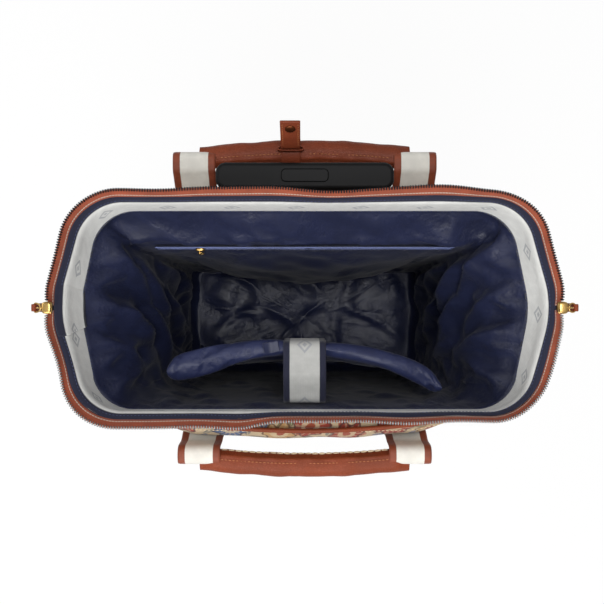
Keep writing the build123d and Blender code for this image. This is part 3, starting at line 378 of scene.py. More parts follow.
def outward_faces(piece):
    """Turns the faces of a closed mesh so that they all point outwards."""
    work = bmesh.new()
    work.from_mesh(piece.data)
    bmesh.ops.recalc_face_normals(work, faces=work.faces)
    work.to_mesh(piece.data)
    work.free()
    return piece


def joined(name, parts):
    """Several small meshes made into one, each with its faces outwards."""
    work = bmesh.new()
    for part in parts:
        work.from_mesh(outward_faces(part).data)
    for part in parts:
        bpy.data.objects.remove(part)
    return filled(name, bpy.data.meshes.new(name), work)


def corded(name, path, profile, up=Z):
    """Piece with closed ends: a profile carried along a path."""
    return outward_faces(put(name, closed_ends(carried(path, profile, up))))


def looped(name, path, profile, up=Z):
    """Ring-shaped piece: a profile carried round a path that ends where it starts."""
    tube = carried(path, profile, up)
    tube[-1] = tube[0]
    return outward_faces(put(name, tube))


def band(name, path, width, thickness):
    """Flat webbing along a path in the upright plane: a thin rounded slab, marked across and along."""
    across = np.concatenate([np.linspace(-1, 1, 21), np.linspace(1, -1, 21), [-1.0]])
    lift = np.concatenate([np.full(21, 0.5), np.full(21, -0.5), [0.5]])
    lift[[0, 20, 21, 41, 42]] *= 0.6
    normal = unit(np.cross(X, unit(np.gradient(path, axis=0))))
    points = path[:, None] + X * (across * width / 2)[:, None]
    points = points + (lift * thickness)[:, None] * normal[:, None]
    marks = coords(((across + 1) * width / 2)[None], run(path)[:, None]) * MM
    marks = np.concatenate([marks[:1], marks, marks[-1:]])
    return outward_faces(put(name, closed_ends(points), marks))


def laid_along(line, count, facing):
    """Places for small bodies laid end to end along a line: their middles, and their axes along the line,
    across it and towards the facing direction."""
    stops = even(line, 2 * count + 1)
    along = unit(stops[2::2] - stops[:-1:2])
    facing = np.broadcast_to(np.asarray(facing, float), line.shape)
    share, known = np.linspace(0, 1, count), np.linspace(0, 1, len(line))
    faced = np.stack([np.interp(share, known, facing[:, axis]) for axis in range(3)], -1)
    side = unit(np.cross(faced, along))
    return stops[1::2], np.stack([along, side, np.cross(along, side)], 1)


def sewn(name, lines, pitch, facing, finish, body="bag", slot=None, thick=0.9, share=0.66):
    """Rows of stitches: small rounded threads laid end to end along lines, facing given directions."""
    counts = [max(int(run(line)[-1] / pitch), 2) for line in lines]
    laid = [laid_along(*row) for row in zip(lines, counts, facing)]
    origins, axes = (np.concatenate(part) for part in zip(*laid))
    stitch = pebble(pitch * share, thick, thick * STITCH_LIFT, 2.2, 6, 5)
    return placed(put_many(name, stitch, origins, axes), finish, body=body, slot=slot)


def hollowed(piece, thickness, offset=-1.0):
    """Gives a sheet its cloth thickness."""
    wall = piece.modifiers.new("Cloth", "SOLIDIFY")
    wall.thickness = thickness * MM
    wall.offset = offset
    wall.use_even_offset = False
    return piece


def smoothed(piece, levels=1):
    """Subdivides a piece."""
    finer = piece.modifiers.new("Smooth", "SUBSURF")
    finer.levels = levels
    finer.render_levels = levels
    return piece


def places_of(piece):
    """The points of a mesh in millimetres."""
    values = np.empty(len(piece.data.vertices) * 3, np.float32)
    piece.data.vertices.foreach_get("co", values)
    return values.reshape(-1, 3).astype(float) / MM


def move_to(piece, places):
    """Puts the points of a mesh at places in millimetres."""
    piece.data.vertices.foreach_set("co", (places * MM).astype(np.float32).ravel())
    piece.data.update()


def settled(piece, held, reach, frames, pressure=0.0, slack=0.0, weight=0.0, bending=0.4, keep=None):
    """Lets cloth move on its own for some frames with the held points fixed, then limits how far each
    point has gone from where it was cut. Slack makes the cloth larger than its place, so that it folds."""
    start = places_of(piece)
    group = piece.vertex_groups.new(name="held")
    group.add([int(i) for i in np.flatnonzero(held(start))], 1.0, "REPLACE")
    cloth = piece.modifiers.new("Settle", "CLOTH")
    rules = {
        "quality": 5,
        "mass": 0.12,
        "tension_stiffness": 18,
        "compression_stiffness": 18,
        "shear_stiffness": 6,
        "bending_stiffness": bending,
        "tension_damping": 8,
        "compression_damping": 8,
        "air_damping": 2,
        "vertex_group_mass": group.name,
        "shrink_min": -slack,
        "use_pressure": pressure > 0,
        "uniform_pressure_force": pressure,
    }
    for rule, value in rules.items():
        setattr(cloth.settings, rule, value)
    cloth.settings.effector_weights.gravity = weight
    cloth.collision_settings.use_collision = False
    cloth.collision_settings.use_self_collision = False
    cloth.point_cache.frame_start = 1
    cloth.point_cache.frame_end = frames
    scene = bpy.context.scene
    for number in range(1, frames + 1):
        scene.frame_set(number)
    moved = np.empty(start.size, np.float32)
    piece.evaluated_get(bpy.context.evaluated_depsgraph_get()).data.vertices.foreach_get("co", moved)
    shift = moved.reshape(-1, 3).astype(float) / MM - start
    far = np.linalg.norm(shift, axis=1, keepdims=True)
    shift *= np.where(far > reach, reach / np.maximum(far, 1e-6), 1.0)
    result = start + shift
    if keep is not None:
        result = keep(start, result)
    piece.modifiers.remove(cloth)
    piece.vertex_groups.remove(group)
    move_to(piece, result)
    scene.frame_set(1)
    return piece


def cut(piece, low, high):
    """Takes a box out of a closed piece, the box given by two corners in millimetres."""
    low, high = np.asarray(low, float), np.asarray(high, float)
    pick = np.array([[0, 0, 0], [1, 0, 0], [1, 1, 0], [0, 1, 0], [0, 0, 1], [1, 0, 1], [1, 1, 1], [0, 1, 1]])
    quads = np.array([[0, 3, 2, 1], [4, 5, 6, 7], [0, 1, 5, 4], [1, 2, 6, 5], [2, 3, 7, 6], [3, 0, 4, 7]])
    tool = put_faces("cutter", low + pick * (high - low), quads)
    notch = piece.modifiers.new("Notch", "BOOLEAN")
    notch.operation = "DIFFERENCE"
    notch.solver = "EXACT"
    notch.object = tool
    whole = bpy.data.meshes.new_from_object(piece.evaluated_get(bpy.context.evaluated_depsgraph_get()))
    piece.modifiers.clear()
    piece.data = whole
    bpy.data.objects.remove(tool)
    return piece


SLOTS = {
    "tapestry cloth": "tapestry",
    "tan leather": "brown_leather",
    "brown leather": "dark_leather",
    "navy lining": "navy_lining",
    "lining piping": "navy_lining",
    "sleeve cloth": "navy_lining",
    "navy thread": "navy_lining",
    "mouth stripe": "striped_tape",
    "strap stripe": "striped_tape",
    "bordered webbing": "ivory_webbing",
    "cream thread": "ivory_webbing",
    "zip cloth": "zip_cloth",
    "gold fitting": "gold_metal",
    "aged brass": "gold_metal",
    "bright teeth": "bright_teeth",
    "dark teeth": "dark_teeth",
    "frame steel": "frame_steel",
    "strap webbing": "black_plastic",
}


def placed(piece, finish, *nodes, body="bag", slot=None):
    """Gives a piece its material and its body, and hides the nodes that it stands for. The slot is not used."""
    piece.data.materials.clear()
    piece.data.materials.append(bpy.data.materials[finish])
    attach(piece, body)
    if nodes:
        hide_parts(*nodes)
    return piece


# ---------------------------------------------------------------- shader boards


def arithmetic(operation, swapped=False):
    """A method that puts a Math node between a wire and another value."""

    def method(self, other):
        return self.maths(operation, *((other, self) if swapped else (self, other)))

    return method


class Wire:
    """A socket's value in a material. Arithmetic on it adds Math nodes."""

    __add__ = __radd__ = arithmetic("ADD")
    __sub__ = arithmetic("SUBTRACT")
    __rsub__ = arithmetic("SUBTRACT", swapped=True)
    __mul__ = __rmul__ = arithmetic("MULTIPLY")
    __truediv__ = arithmetic("DIVIDE")
    __pow__ = arithmetic("POWER")
    __mod__ = arithmetic("FLOORED_MODULO")
    __lt__ = arithmetic("LESS_THAN")
    __gt__ = arithmetic("GREATER_THAN")
    lower = arithmetic("MINIMUM")
    angle_from = arithmetic("ARCTAN2")

    def __init__(self, board, socket):
        self.board = board
        self.socket = socket

    def also(self, out):
        """Another output of the same node."""
        return Wire(self.board, self.socket.node.outputs[out])

    def maths(self, operation, *values):
        return self.board.node("ShaderNodeMath", {"operation": operation}, dict(enumerate(values)))

    def __abs__(self):
        return self.maths("ABSOLUTE", self)

    def sine(self):
        return self.maths("SINE", self)

    def cosine(self):
        return self.maths("COSINE", self)

    def wave(self, length):
        """Wave between 0 and 1 that repeats after a length."""
        return (self * (TURN / length)).sine() * 0.5 + 0.5

    def ramp(self, low, high):
        """Smooth rise from 0 at low to 1 at high."""
        inputs = {"Value": self, "From Min": low, "From Max": high}
        return self.board.node("ShaderNodeMapRange", {"interpolation_type": "SMOOTHSTEP"}, inputs)

    def over(self, limit, soft):
        """0 below a limit and 1 above it, with a soft edge."""
        return (self - limit).ramp(-soft, soft)


class Board:
    """One material's nodes, ending in a Principled shader."""

    def __init__(self, name):
        self.material = bpy.data.materials.new(name)
        self.material.use_nodes = True
        self.tree = self.material.node_tree
        self.shader = self.tree.nodes["Principled BSDF"]

    def feed(self, socket, value):
        """Wires a value to a socket, or sets it there if it is constant."""
        if isinstance(value, Wire):
            self.tree.links.new(value.socket, socket)
        else:
            socket.default_value = value

    def node(self, kind, settings=None, inputs=None, out=0):
        """Adds a node of a type with its settings, then its inputs, and gives one of its outputs."""
        made = self.tree.nodes.new(kind)
        for key, value in (settings or {}).items():
            setattr(made, key, value)
        for key, value in (inputs or {}).items():
            self.feed(made.inputs[key], value)
        return Wire(self, made.outputs[out])

    def place(self):
        return self.node("ShaderNodeTexCoord", out="Object")

    def marks(self):
        return self.node("ShaderNodeUVMap", {"uv_map": "UVMap"})

    def parts(self, vector):
        first = self.node("ShaderNodeSeparateXYZ", inputs={0: vector})
        return first, first.also(1), first.also(2)

    def noise(self, vector, scale, detail=3.0, rough=0.55, stretch=None):
        if stretch is not None:
            vector = self.node("ShaderNodeMapping", inputs={"Vector": vector, "Scale": stretch})
        inputs = {"Vector": vector, "Scale": scale, "Detail": detail, "Roughness": rough}
        return self.node("ShaderNodeTexNoise", inputs=inputs)

    def cells(self, vector, scale, settings, out=0, randomness=1.0):
        inputs = {"Vector": vector, "Scale": scale, "Randomness": randomness}
        return self.node("ShaderNodeTexVoronoi", settings, inputs, out)

    def scattered(self, vector, scale, randomness):
        """Seats strewn over a plane: three random values of the nearest one, and the place seen from it."""
        seat = self.cells(vector, scale, {"voronoi_dimensions": "2D"}, "Position", randomness)
        pick = self.parts(seat.also("Color"))
        apart = self.node("ShaderNodeVectorMath", {"operation": "SUBTRACT"}, {0: vector, 1: seat})
        return pick, *self.parts(apart)[:2]

    def mixed(self, factor, first, second):
        first, second = (tone if isinstance(tone, Wire) else (*tone, 1.0) for tone in (first, second))
        return self.node("ShaderNodeMix", {"data_type": "RGBA"}, {0: factor, 6: first, 7: second}, out=2)

    def cloudy(self, cloud, low, high, base, dark, light):
        """A colour that goes from darker to lighter with a cloud's value."""
        return self.mixed(cloud.ramp(low, high), shade(base, dark), shade(base, light))

    def finish(self, base, rough, height=None, depth=0.0003, strength=1.0, constants=None):
        """Feeds the shader: colour, roughness and a bump from a height, and constants on its own sockets."""
        self.feed(self.shader.inputs["Base Color"], base)
        self.feed(self.shader.inputs["Roughness"], rough)
        if height is not None:
            inputs = {"Height": height, "Strength": strength, "Distance": depth}
            self.feed(self.shader.inputs["Normal"], self.node("ShaderNodeBump", inputs=inputs))
        for name, value in (constants or {}).items():
            self.feed(self.shader.inputs[name], value)
        return self.material


def shade(base, share):
    """A colour made darker or lighter by a share."""
    return tuple(float(min(part * share, 1.0)) for part in base)


def leather(name, base, rough=0.46):
    """Grained leather: pebbled cells, fine pores, cloudy colour and grooves between the pebbles made darker."""
    b = Board(name)
    place = b.place()
    cloud = b.noise(place, 28.0, 4.0)
    pores = b.noise(place, 1500.0, 2.0)
    ridge = b.cells(place, 620.0, {"feature": "DISTANCE_TO_EDGE"}).ramp(0.0, 0.28)
    tone = b.cloudy(cloud, 0.3, 0.72, base, 0.80, 1.14)
    # The grooves between the pebbles are made darker.
    tone = b.mixed((1 - ridge) * 0.5, tone, shade(base, 0.56))
    height = ridge * 0.7 + pores * 0.3
    sheen = {"Coat Weight": 0.05, "Coat Roughness": 0.38, "Specular IOR Level": 0.3}
    return b.finish(tone, rough + (1 - ridge) * 0.2 + cloud * 0.08, height, 0.00028, 0.7, sheen)


def lining_cloth(name, base):
    """Thin lining cloth: fine plain weave, a satin gloss, small creases and painted highlights along the crease
    lines.
    """
    b = Board(name)
    place = b.place()
    warp, weft, rise = ((part * 5200.0).sine() for part in b.parts(place))
    weave = (warp * rise + weft * rise) * 0.25
    crease = b.noise(place, 34.0, 5.0, 0.58, (1.0, 1.0, 0.5))
    fold = 1 - abs(crease - 0.5) * 2.6
    cloud = b.noise(place, 9.0, 3.0)
    tone = b.cloudy(cloud, 0.25, 0.75, base, 0.8, 1.15)
    # Painted highlight: the crease lines are painted up to 1.6 times lighter, standing in for the satin's bright
    # streaks.
    tone = b.mixed(fold.ramp(0.75, 1.0) * 0.30, tone, shade(base, 1.6))
    height = crease * 0.6 + fold * 0.35 + weave * 0.03
    gloss = {"Specular IOR Level": 0.42, "Sheen Weight": 0.08, "Sheen Roughness": 0.4}
    return b.finish(tone, 0.40 + cloud * 0.1, height, 0.0060, 0.5, gloss)


def striped_tape(name, white, navy, border, low_border, width):
    """Woven tape: dark borders beside a pale middle with a faint row of lozenges, ribbed across."""
    b = Board(name)
    across, along, _ = b.parts(b.marks())
    rib, cord = along.wave(0.0011), across.wave(0.0016)
    middle = (width - across).over(border, 0.0004) * across.over(low_border, 0.0004)
    ring = abs((along % 0.058) - 0.029) / 0.0085 + abs(across - width / 2) / (width * 0.19)
    lozenge = (1 - ring.ramp(0.92, 1.0)) * ring.ramp(0.58, 0.66)
    heart = 1 - ring.ramp(0.26, 0.34)
    worn = b.noise(b.marks(), 120.0, 4.0)
    pale = b.cloudy(worn, 0.3, 0.8, white, 0.88, 1.0)
    pale = b.mixed((lozenge + heart).lower(1.0) * 0.55, pale, dye(132, 136, 146))
    tone = b.mixed(middle, navy, pale)
    tone = b.mixed(rib * 0.16, tone, shade(navy, 0.6))
    height = rib * 0.6 + cord * 0.4 + middle * 0.3
    return b.finish(tone, 0.78, height, 0.00025, 0.6, {"Sheen Weight": 0.2, "Specular IOR Level": 0.3})


def bordered_webbing(name, ivory, rust, border, width):
    """Heavy webbing: ivory herringbone between two leather borders."""
    b = Board(name)
    across, along, _ = b.parts(b.marks())
    middle = across.lower(width - across).over(border, 0.0003)
    zigzag = abs((across % 0.0052) - 0.0026)
    twill = (along + zigzag * 1.1).wave(0.0015)
    worn = b.noise(b.marks(), 90.0, 4.0)
    grain = b.cells(b.marks(), 700.0, {"feature": "DISTANCE_TO_EDGE"}).ramp(0.0, 0.25)
    pale = b.cloudy(worn, 0.3, 0.8, ivory, 0.86, 1.0)
    pale = b.mixed(twill * 0.14, pale, shade(ivory, 0.55))
    tone = b.mixed(middle, b.cloudy(worn, 0.3, 0.75, rust, 0.78, 1.1), pale)
    height = middle * (twill * 0.7) + (1 - middle) * (grain * 0.4 + 0.9)
    return b.finish(tone, 0.62 + middle * 0.2, height, 0.0003, 0.6, {"Sheen Weight": 0.12})


def tapestry(name, cream):
    """Woven tapestry: crowded rosettes and leaves in brick, blue, tan and grey on a cream ground, their
    edges stepped by the threads of a coarse weave."""
    b = Board(name)
    marks = b.marks()
    across, along, _ = b.parts(marks)
    weave = (across * (TURN / 0.0011)).sine() * (along * (TURN / 0.0013)).sine() * 0.5 + 0.5
    soft = b.noise(marks, 60.0, 3.0)
    wander = {0: b.noise(marks, 85.0, 3.0).also("Color"), 1: (0.007, 0.007, 0.0), 2: marks}
    wandered = b.node("ShaderNodeVectorMath", {"operation": "MULTIPLY_ADD"}, wander)
    pick, px, py = b.scattered(wandered, 25.0, 0.72)
    radius = (px * px + py * py) ** 0.5
    turn = py.angle_from(px)
    petals = (turn * 7.0 + pick[0] * 6.0).sine() * 0.0022 + 0.0138 + pick[1] * 0.0045
    flower = 1 - radius.over(petals, 0.0006)
    rim = flower - (1 - (radius + 0.0020).over(petals, 0.0006))
    inner = 1 - radius.over(0.0040, 0.0005)
    ring = (1 - radius.over(0.0086, 0.0005)) - inner
    veins = (turn * 14.0 + pick[0] * 12.0).sine().ramp(0.2, 0.7) * flower * (1 - inner)
    leaf_pick, qx, qy = b.scattered(wandered, 62.0, 0.9)
    lean = leaf_pick[0] * TURN
    lx = qx * lean.cosine() + qy * lean.sine()
    ly = qy * lean.cosine() - qx * lean.sine()
    leaf = 1 - ((lx * lx * 0.34 + ly * ly * 2.2) ** 0.5).over(0.0048, 0.0004)
    spine = leaf * (1 - abs(ly).ramp(0.0003, 0.0007))
    brick, blue, grey = dye(148, 56, 42), dye(70, 92, 128), dye(120, 118, 108)
    petal_tone = b.mixed(pick[2] > 0.5, brick, blue)
    petal_tone = b.mixed((pick[2] > 0.34) * (pick[2] < 0.62), petal_tone, dye(182, 142, 92))
    petal_tone = b.mixed(pick[2] > 0.84, petal_tone, grey)
    leaf_tone = b.mixed(leaf_pick[2] > 0.4, grey, dye(98, 104, 72))
    leaf_tone = b.mixed(leaf_pick[2] > 0.66, leaf_tone, brick)
    leaf_tone = b.mixed(leaf_pick[2] > 0.84, leaf_tone, blue)
    tone = b.cloudy(soft, 0.3, 0.75, cream, 0.82, 1.0)
    layers = (
        (leaf * 0.92, leaf_tone),
        (spine * 0.6, cream),
        (flower, petal_tone),
        (veins * 0.4, cream),
        (rim * 0.8, dye(66, 48, 46)),
        (ring * 0.75, cream),
        (inner, dye(150, 70, 46)),
        ((1 - weave) * 0.36, dye(62, 48, 44)),
    )
    for share, layer in layers:
        tone = b.mixed(share, tone, layer)
    height = weave + flower * 0.5 + leaf * 0.2
    return b.finish(tone, 0.86, height, 0.0004, 0.6, {"Sheen Weight": 0.15, "Specular IOR Level": 0.2})


def zip_cloth(name, rust):
    """Zip tape: dense twill with a pale reinforcing line near the teeth."""
    b = Board(name)
    across, along, _ = b.parts(b.marks())
    twill = (along + across).wave(0.0013)
    line = 1 - abs(across - 0.0069).ramp(0.0003, 0.0006)
    dash = ((along % 0.0026) < 0.0019) * line
    tone = b.cloudy(b.noise(b.marks(), 80.0, 4.0), 0.3, 0.75, rust, 0.8, 1.12)
    tone = b.mixed(twill * 0.22, tone, shade(rust, 0.5))
    tone = b.mixed(dash * 0.8, tone, dye(196, 186, 172))
    return b.finish(tone, 0.72, twill + dash * 1.5, 0.0002, 0.6, {"Sheen Weight": 0.15})


def metal(name, base, rough, brush=(1.0, 1.0, 1.0)):
    """Plated metal: fine scratches and smudged gloss over a full metallic base."""
    b = Board(name)
    place = b.place()
    smudge = b.noise(place, 70.0, 4.0)
    scratch = b.noise(place, 600.0, 2.0, 0.5, brush)
    tone = b.cloudy(smudge, 0.3, 0.8, base, 0.88, 1.0)
    return b.finish(tone, rough + smudge * 0.12 + scratch * 0.06, scratch, 0.00005, 0.4, {"Metallic": 1.0})


def moulded(name, base, rough, scale=900.0, depth=0.00012):
    """Moulded plastic or rubber: a fine spark-eroded grain and a dusty, slightly uneven gloss."""
    b = Board(name)
    place = b.place()
    grain = b.noise(place, scale, 3.0)
    dust = b.noise(place, 24.0, 4.0)
    tone = b.cloudy(dust, 0.35, 0.8, base, 1.0, 1.5)
    return b.finish(tone, rough + dust * 0.1, grain, depth, 0.6, {"Specular IOR Level": 0.18})


def thread(name, base):
    """Twisted sewing thread."""
    b = Board(name)
    x, y, z = b.parts(b.place())
    twist = (x + y + z).wave(0.0006)
    tone = b.mixed(twist * 0.35, base, shade(base, 0.55))
    return b.finish(tone, 0.7, twist, 0.00008, 0.5)


def pressed_board(name, base):
    """Grey pressed fibre board."""
    b = Board(name)
    fibre = b.noise(b.place(), 400.0, 4.0)
    return b.finish(b.mixed(fibre, shade(base, 0.75), base), 0.85, fibre, 0.0002, 0.5)


def finish_set(scene):
    """All finishes of the bag, made once from the user's colours and kept by name."""
    if "tan leather" in bpy.data.materials:
        return
    sizes = scene.backpack_sizes
    kept = scene.backpack_colours
    own = {key: tuple(getattr(kept, key)) for key in BackpackColours.__annotations__}
    white, navy, tan = own["tape_white"], own["tape_navy"], own["tan_leather"]
    low_border = 0.0030
    leather("tan leather", tan)
    leather("brown leather", own["brown_leather"])
    lining_cloth("navy lining", own["lining_navy"])
    lining_cloth("lining piping", dye(86, 96, 138))
    # Painted light: the sleeve's cloth is the lining navy made 1.7 times lighter, standing in for the light on
    # its rolled top.
    lining_cloth("sleeve cloth", shade(own["lining_navy"], 1.7))
    striped_tape("mouth stripe", white, navy, sizes.tape_border, low_border, TAPE_WIDE * MM)
    strap = (sizes.strap_border, sizes.strap_border, WEBBING_WIDE * MM)
    striped_tape("strap stripe", shade(white, 0.62), navy, *strap)
    webbing = (sizes.webbing_border, WEBBING_WIDE * MM)
    bordered_webbing("bordered webbing", own["webbing_ivory"], shade(tan, 0.86), *webbing)
    tapestry("tapestry cloth", own["ground_cream"])
    zip_cloth("zip cloth", own["zip_rust"])
    metal("gold fitting", own["fitting_gold"], 0.22)
    metal("aged brass", dye(112, 62, 38), 0.42)
    metal("bright teeth", dye(160, 160, 160), 0.3)
    # On the main zip's rear half this dark grey is painted shade: those teeth are the same metal as the bright
    # front ones. It also colours the wall pocket's zip coil.
    metal("dark teeth", dye(46, 46, 50), 0.34)
    metal("frame steel", dye(150, 152, 156), 0.3)
    metal("tube metal", dye(176, 178, 182), 0.26, (1.0, 1.0, 0.04))
    moulded("grip plastic", dye(13, 13, 14), 0.52)
    moulded("hub plastic", dye(12, 12, 13), 0.5)
    moulded("tyre rubber", dye(30, 30, 31), 0.62, 500.0, 0.0003)
    moulded("strap webbing", dye(46, 44, 44), 0.7, 1200.0, 0.0003)
    thread("cream thread", dye(226, 206, 172))
    thread("navy thread", dye(70, 80, 122))
    thread("tan thread", dye(190, 122, 74))
    pressed_board("pressed board", dye(120, 112, 100))


# ---------------------------------------------------------------- body forms in millimetres


def flare(height):
    """Shares of the mouth's flare that the body has at a height, at its corners and at its hinges."""
    levels = (280.0, 347.5, TAPE_FOOT, RIM)
    return eased(height, levels, (0.0, 0.30, 0.84, 1.0)), eased(height, levels, (0.0, 0.26, 0.74, 1.0))


def body_ring(height, inset=0.0, rear_inset=None, fine=1):
    """Body's rounded outline at each height: the flare widens it from its straight lower part."""
    corner, hinge = flare(np.asarray(height, float))
    return outline(
        CORNER_HALF + CORNER_FLARE * corner - inset,
        HINGE_HALF + HINGE_FLARE * hinge - inset,
        HALF_DEPTH - (inset if rear_inset is None else rear_inset),
        HALF_DEPTH - inset,
        30 + 18 * corner - inset,
        16 + 32 * corner - inset,
        90.0,
        fine,
    )


def lap_of(ring):
    """Share of the way round a ring, from 0 to 1, at each point."""
    travelled = run(ring)
    return travelled / travelled[..., -1:]


def mouth_wave(ring):
    """Waves of the soft rim, outwards and upwards: slow ones that close after one lap, the rear edge pushed
    out between the handle's ends and the front edge drawn in right of the left handle."""
    angle = TURN * lap_of(ring)
    x, y = ring[..., 0], ring[..., 1]
    rear = soft_step(y, 40.0, 90.0) * (2.0 + 1.6 * np.cos(TURN * (x + 63.0) / 170.0))
    front = soft_step(-y, 40.0, 90.0) * (2.8 - 5.0 * soft_step(x, -62.0, -24.0))
    sway = rear + front + 0.7 * np.sin(9 * angle + 2.1) + 0.4 * np.sin(16 * angle)
    lift = 0.9 * np.sin(6 * angle + 1.9) + 0.6 * np.sin(13 * angle)
    return sway, lift


def creased(along, height, folds):
    """Relief of listed folds: each is a tent about a line between two places, straight down both
    flanks, bowed a little and fading towards both ends; the highest one wins, which leaves valley lines."""
    relief = np.zeros(np.broadcast(along, height).shape)
    hung_from = 380.0
    for first, last, wide, high in folds:
        first, last = np.asarray(first, float), np.asarray(last, float)
        way = (last - first) / np.linalg.norm(last - first)
        a, h = along - first[0], height - first[1]
        share = np.clip((a * way[0] + h * way[1]) / np.linalg.norm(last - first), 0.0, 1.0)
        bow = 6.0 * np.sin(np.pi * share)
        apart = np.abs(a * way[1] - h * way[0] + bow)
        flank = np.clip(1.04 - np.sqrt((apart / wide) ** 2 + 0.0016), 0.0, 1.0)
        lead = 0.45 if first[1] > hung_from else 0.0
        fade = np.sin(np.pi * (lead + (1 - lead) * share)) ** 0.5
        relief = np.maximum(relief, high * flank * fade)
    return relief


def pouch_front(x, height, bulge=30.0):
    """How far the front pouch's face stands out at a place: a full-shouldered bulge across, and a belly
    up its height that is drawn in at the seams."""
    across = eased(np.abs(x) / POUCH_HALF, (0.0, 0.64, 0.9, 1.0), (1.0, 0.87, 0.42, 0.0))
    share = (height - POUCH_FOOT) / (POUCH_TOP - POUCH_FOOT)
    up = eased(share, (0.0, 0.12, 0.4, 0.76, 0.93, 1.0), (0.14, 0.6, 0.95, 1.0, 0.93, 0.5))
    return -POUCH_BACK + bulge * across * up


# ---------------------------------------------------------------- pieces


class BackpackShell(bpy.types.Operator):
    """Outer cloth of the body, soft between its flared mouth and the base, with creased side gussets"""

    bl_idname = "backpack.shell"
    bl_label = "Outer shell"

    def execute(self, context):
        finish_set(context.scene)
        pitch = context.scene.backpack_sizes.stitch_pitch / MM
        heights = np.linspace(SEAM, RIM, 86)
        ring = body_ring(heights)
        face = outward(ring)
        points = lifted(ring, heights[:, None])
        x, y, z = np.moveaxis(points, -1, 0)
        side = soft_step(np.abs(x), 150.0, 172.0)
        gusset = hump(y, 20.0) * soft_step(z, 210.0, 330.0) * soft_fall(z, 392.0, 428.0)
        pleat = hump(np.abs(y) - 46.0 - (z - 300.0) * 0.14, 15.0) * soft_step(z, 190.0, 300.0)
        sag = ripple(x + y, z, 5, 46.0, 150.0) * 1.3
        shift = side * np.maximum(-2.6 * gusset - 1.6 * pleat * soft_fall(z, 380.0, 426.0) + sag, -3.6)
        shift *= soft_step(z, SEAM, SEAM + 24.0) * soft_fall(z, RIM - 18.0, RIM)
        points[..., :2] += face * shift[..., None]
        piece = put("bag_shell", points, coords(run(ring[40:41]), z) * MM)
        hollowed(piece, 1.6)
        placed(piece, "tapestry cloth", "outer_shell")
        hem = lifted(ring[-2] + face[-2] * 0.7, RIM - 7.0)
        sewn("shell_rim_stitches", [hem], pitch, [lifted(face[-2], 0.0)], "cream thread")
        return {"FINISHED"}


class BackpackBase(bpy.types.Operator):
    """Leather tray under the body with rounded lower edges, notched for the wheels, with a piped seam"""

    bl_idname = "backpack.base"
    bl_label = "Base cover"

    def execute(self, context):
        finish_set(context.scene)
        pitch = context.scene.backpack_sizes.stitch_pitch / MM
        edge_round, board, notch_half = 10.0, 2.0, 20.5
        bend = np.linspace(0, np.pi / 2, 9)
        lip = ((-0.7, 80.0), (-0.7, 84.5), (0.6, 85.3))
        inset = np.concatenate([edge_round * (1 - np.sin(bend)), np.zeros(8), [step[0] for step in lip]])
        level = TRAY_FLOOR + edge_round * (1 - np.cos(bend))
        level = np.concatenate([level, np.linspace(49, 79, 8), [step[1] for step in lip]])
        points = lifted(body_ring(np.full(len(inset), SEAM), inset), level[:, None])
        inner = points * np.array([0.985, 0.985, 1.0])
        inner[: len(bend), :, 2] += board
        shrink = np.array([0.0, 0.25, 0.5, 0.75, 0.95])[:, None, None]
        under, over = (lifted(wall[0, :, :2] * shrink, wall[0, 0, 2]) for wall in (points, inner))
        points = np.concatenate([under, points, inner[::-1], over[::-1]])
        piece = outward_faces(put("base_tray", points))
        for wheel in (-WHEEL_X, WHEEL_X):
            cut(piece, (wheel - notch_half, 57.5, 20.0), (wheel + notch_half, 140.0, 78.5))
        placed(piece, "tan leather", "base_cover")
        seam = body_ring(SEAM, -1.0)
        face = lifted(outward(seam)[0], 0.0)
        turn = np.linspace(0, TURN, 9)[:, None]
        cord = 1.7 * (np.cos(turn) * face[:, None] + np.sin(turn) * Z)
        piping = outward_faces(put("base_piping", lifted(seam[0], SEAM + 2.0)[:, None] + cord))
        placed(piping, "brown leather")
        line = lifted(body_ring(SEAM, -1.1)[0], SEAM - 3.4)
        keep = ~((np.abs(np.abs(line[:, 0]) - WHEEL_X) < 24) & (line[:, 1] > 50))
        cuts = np.flatnonzero(np.diff(keep.astype(int)))
        runs = [part for part in np.split(np.arange(len(line)), cuts + 1) if keep[part[0]] and len(part) > 3]
        sewn("base_stitches", [line[r] for r in runs], pitch, [face[r] for r in runs], "cream thread")
        return {"FINISHED"}


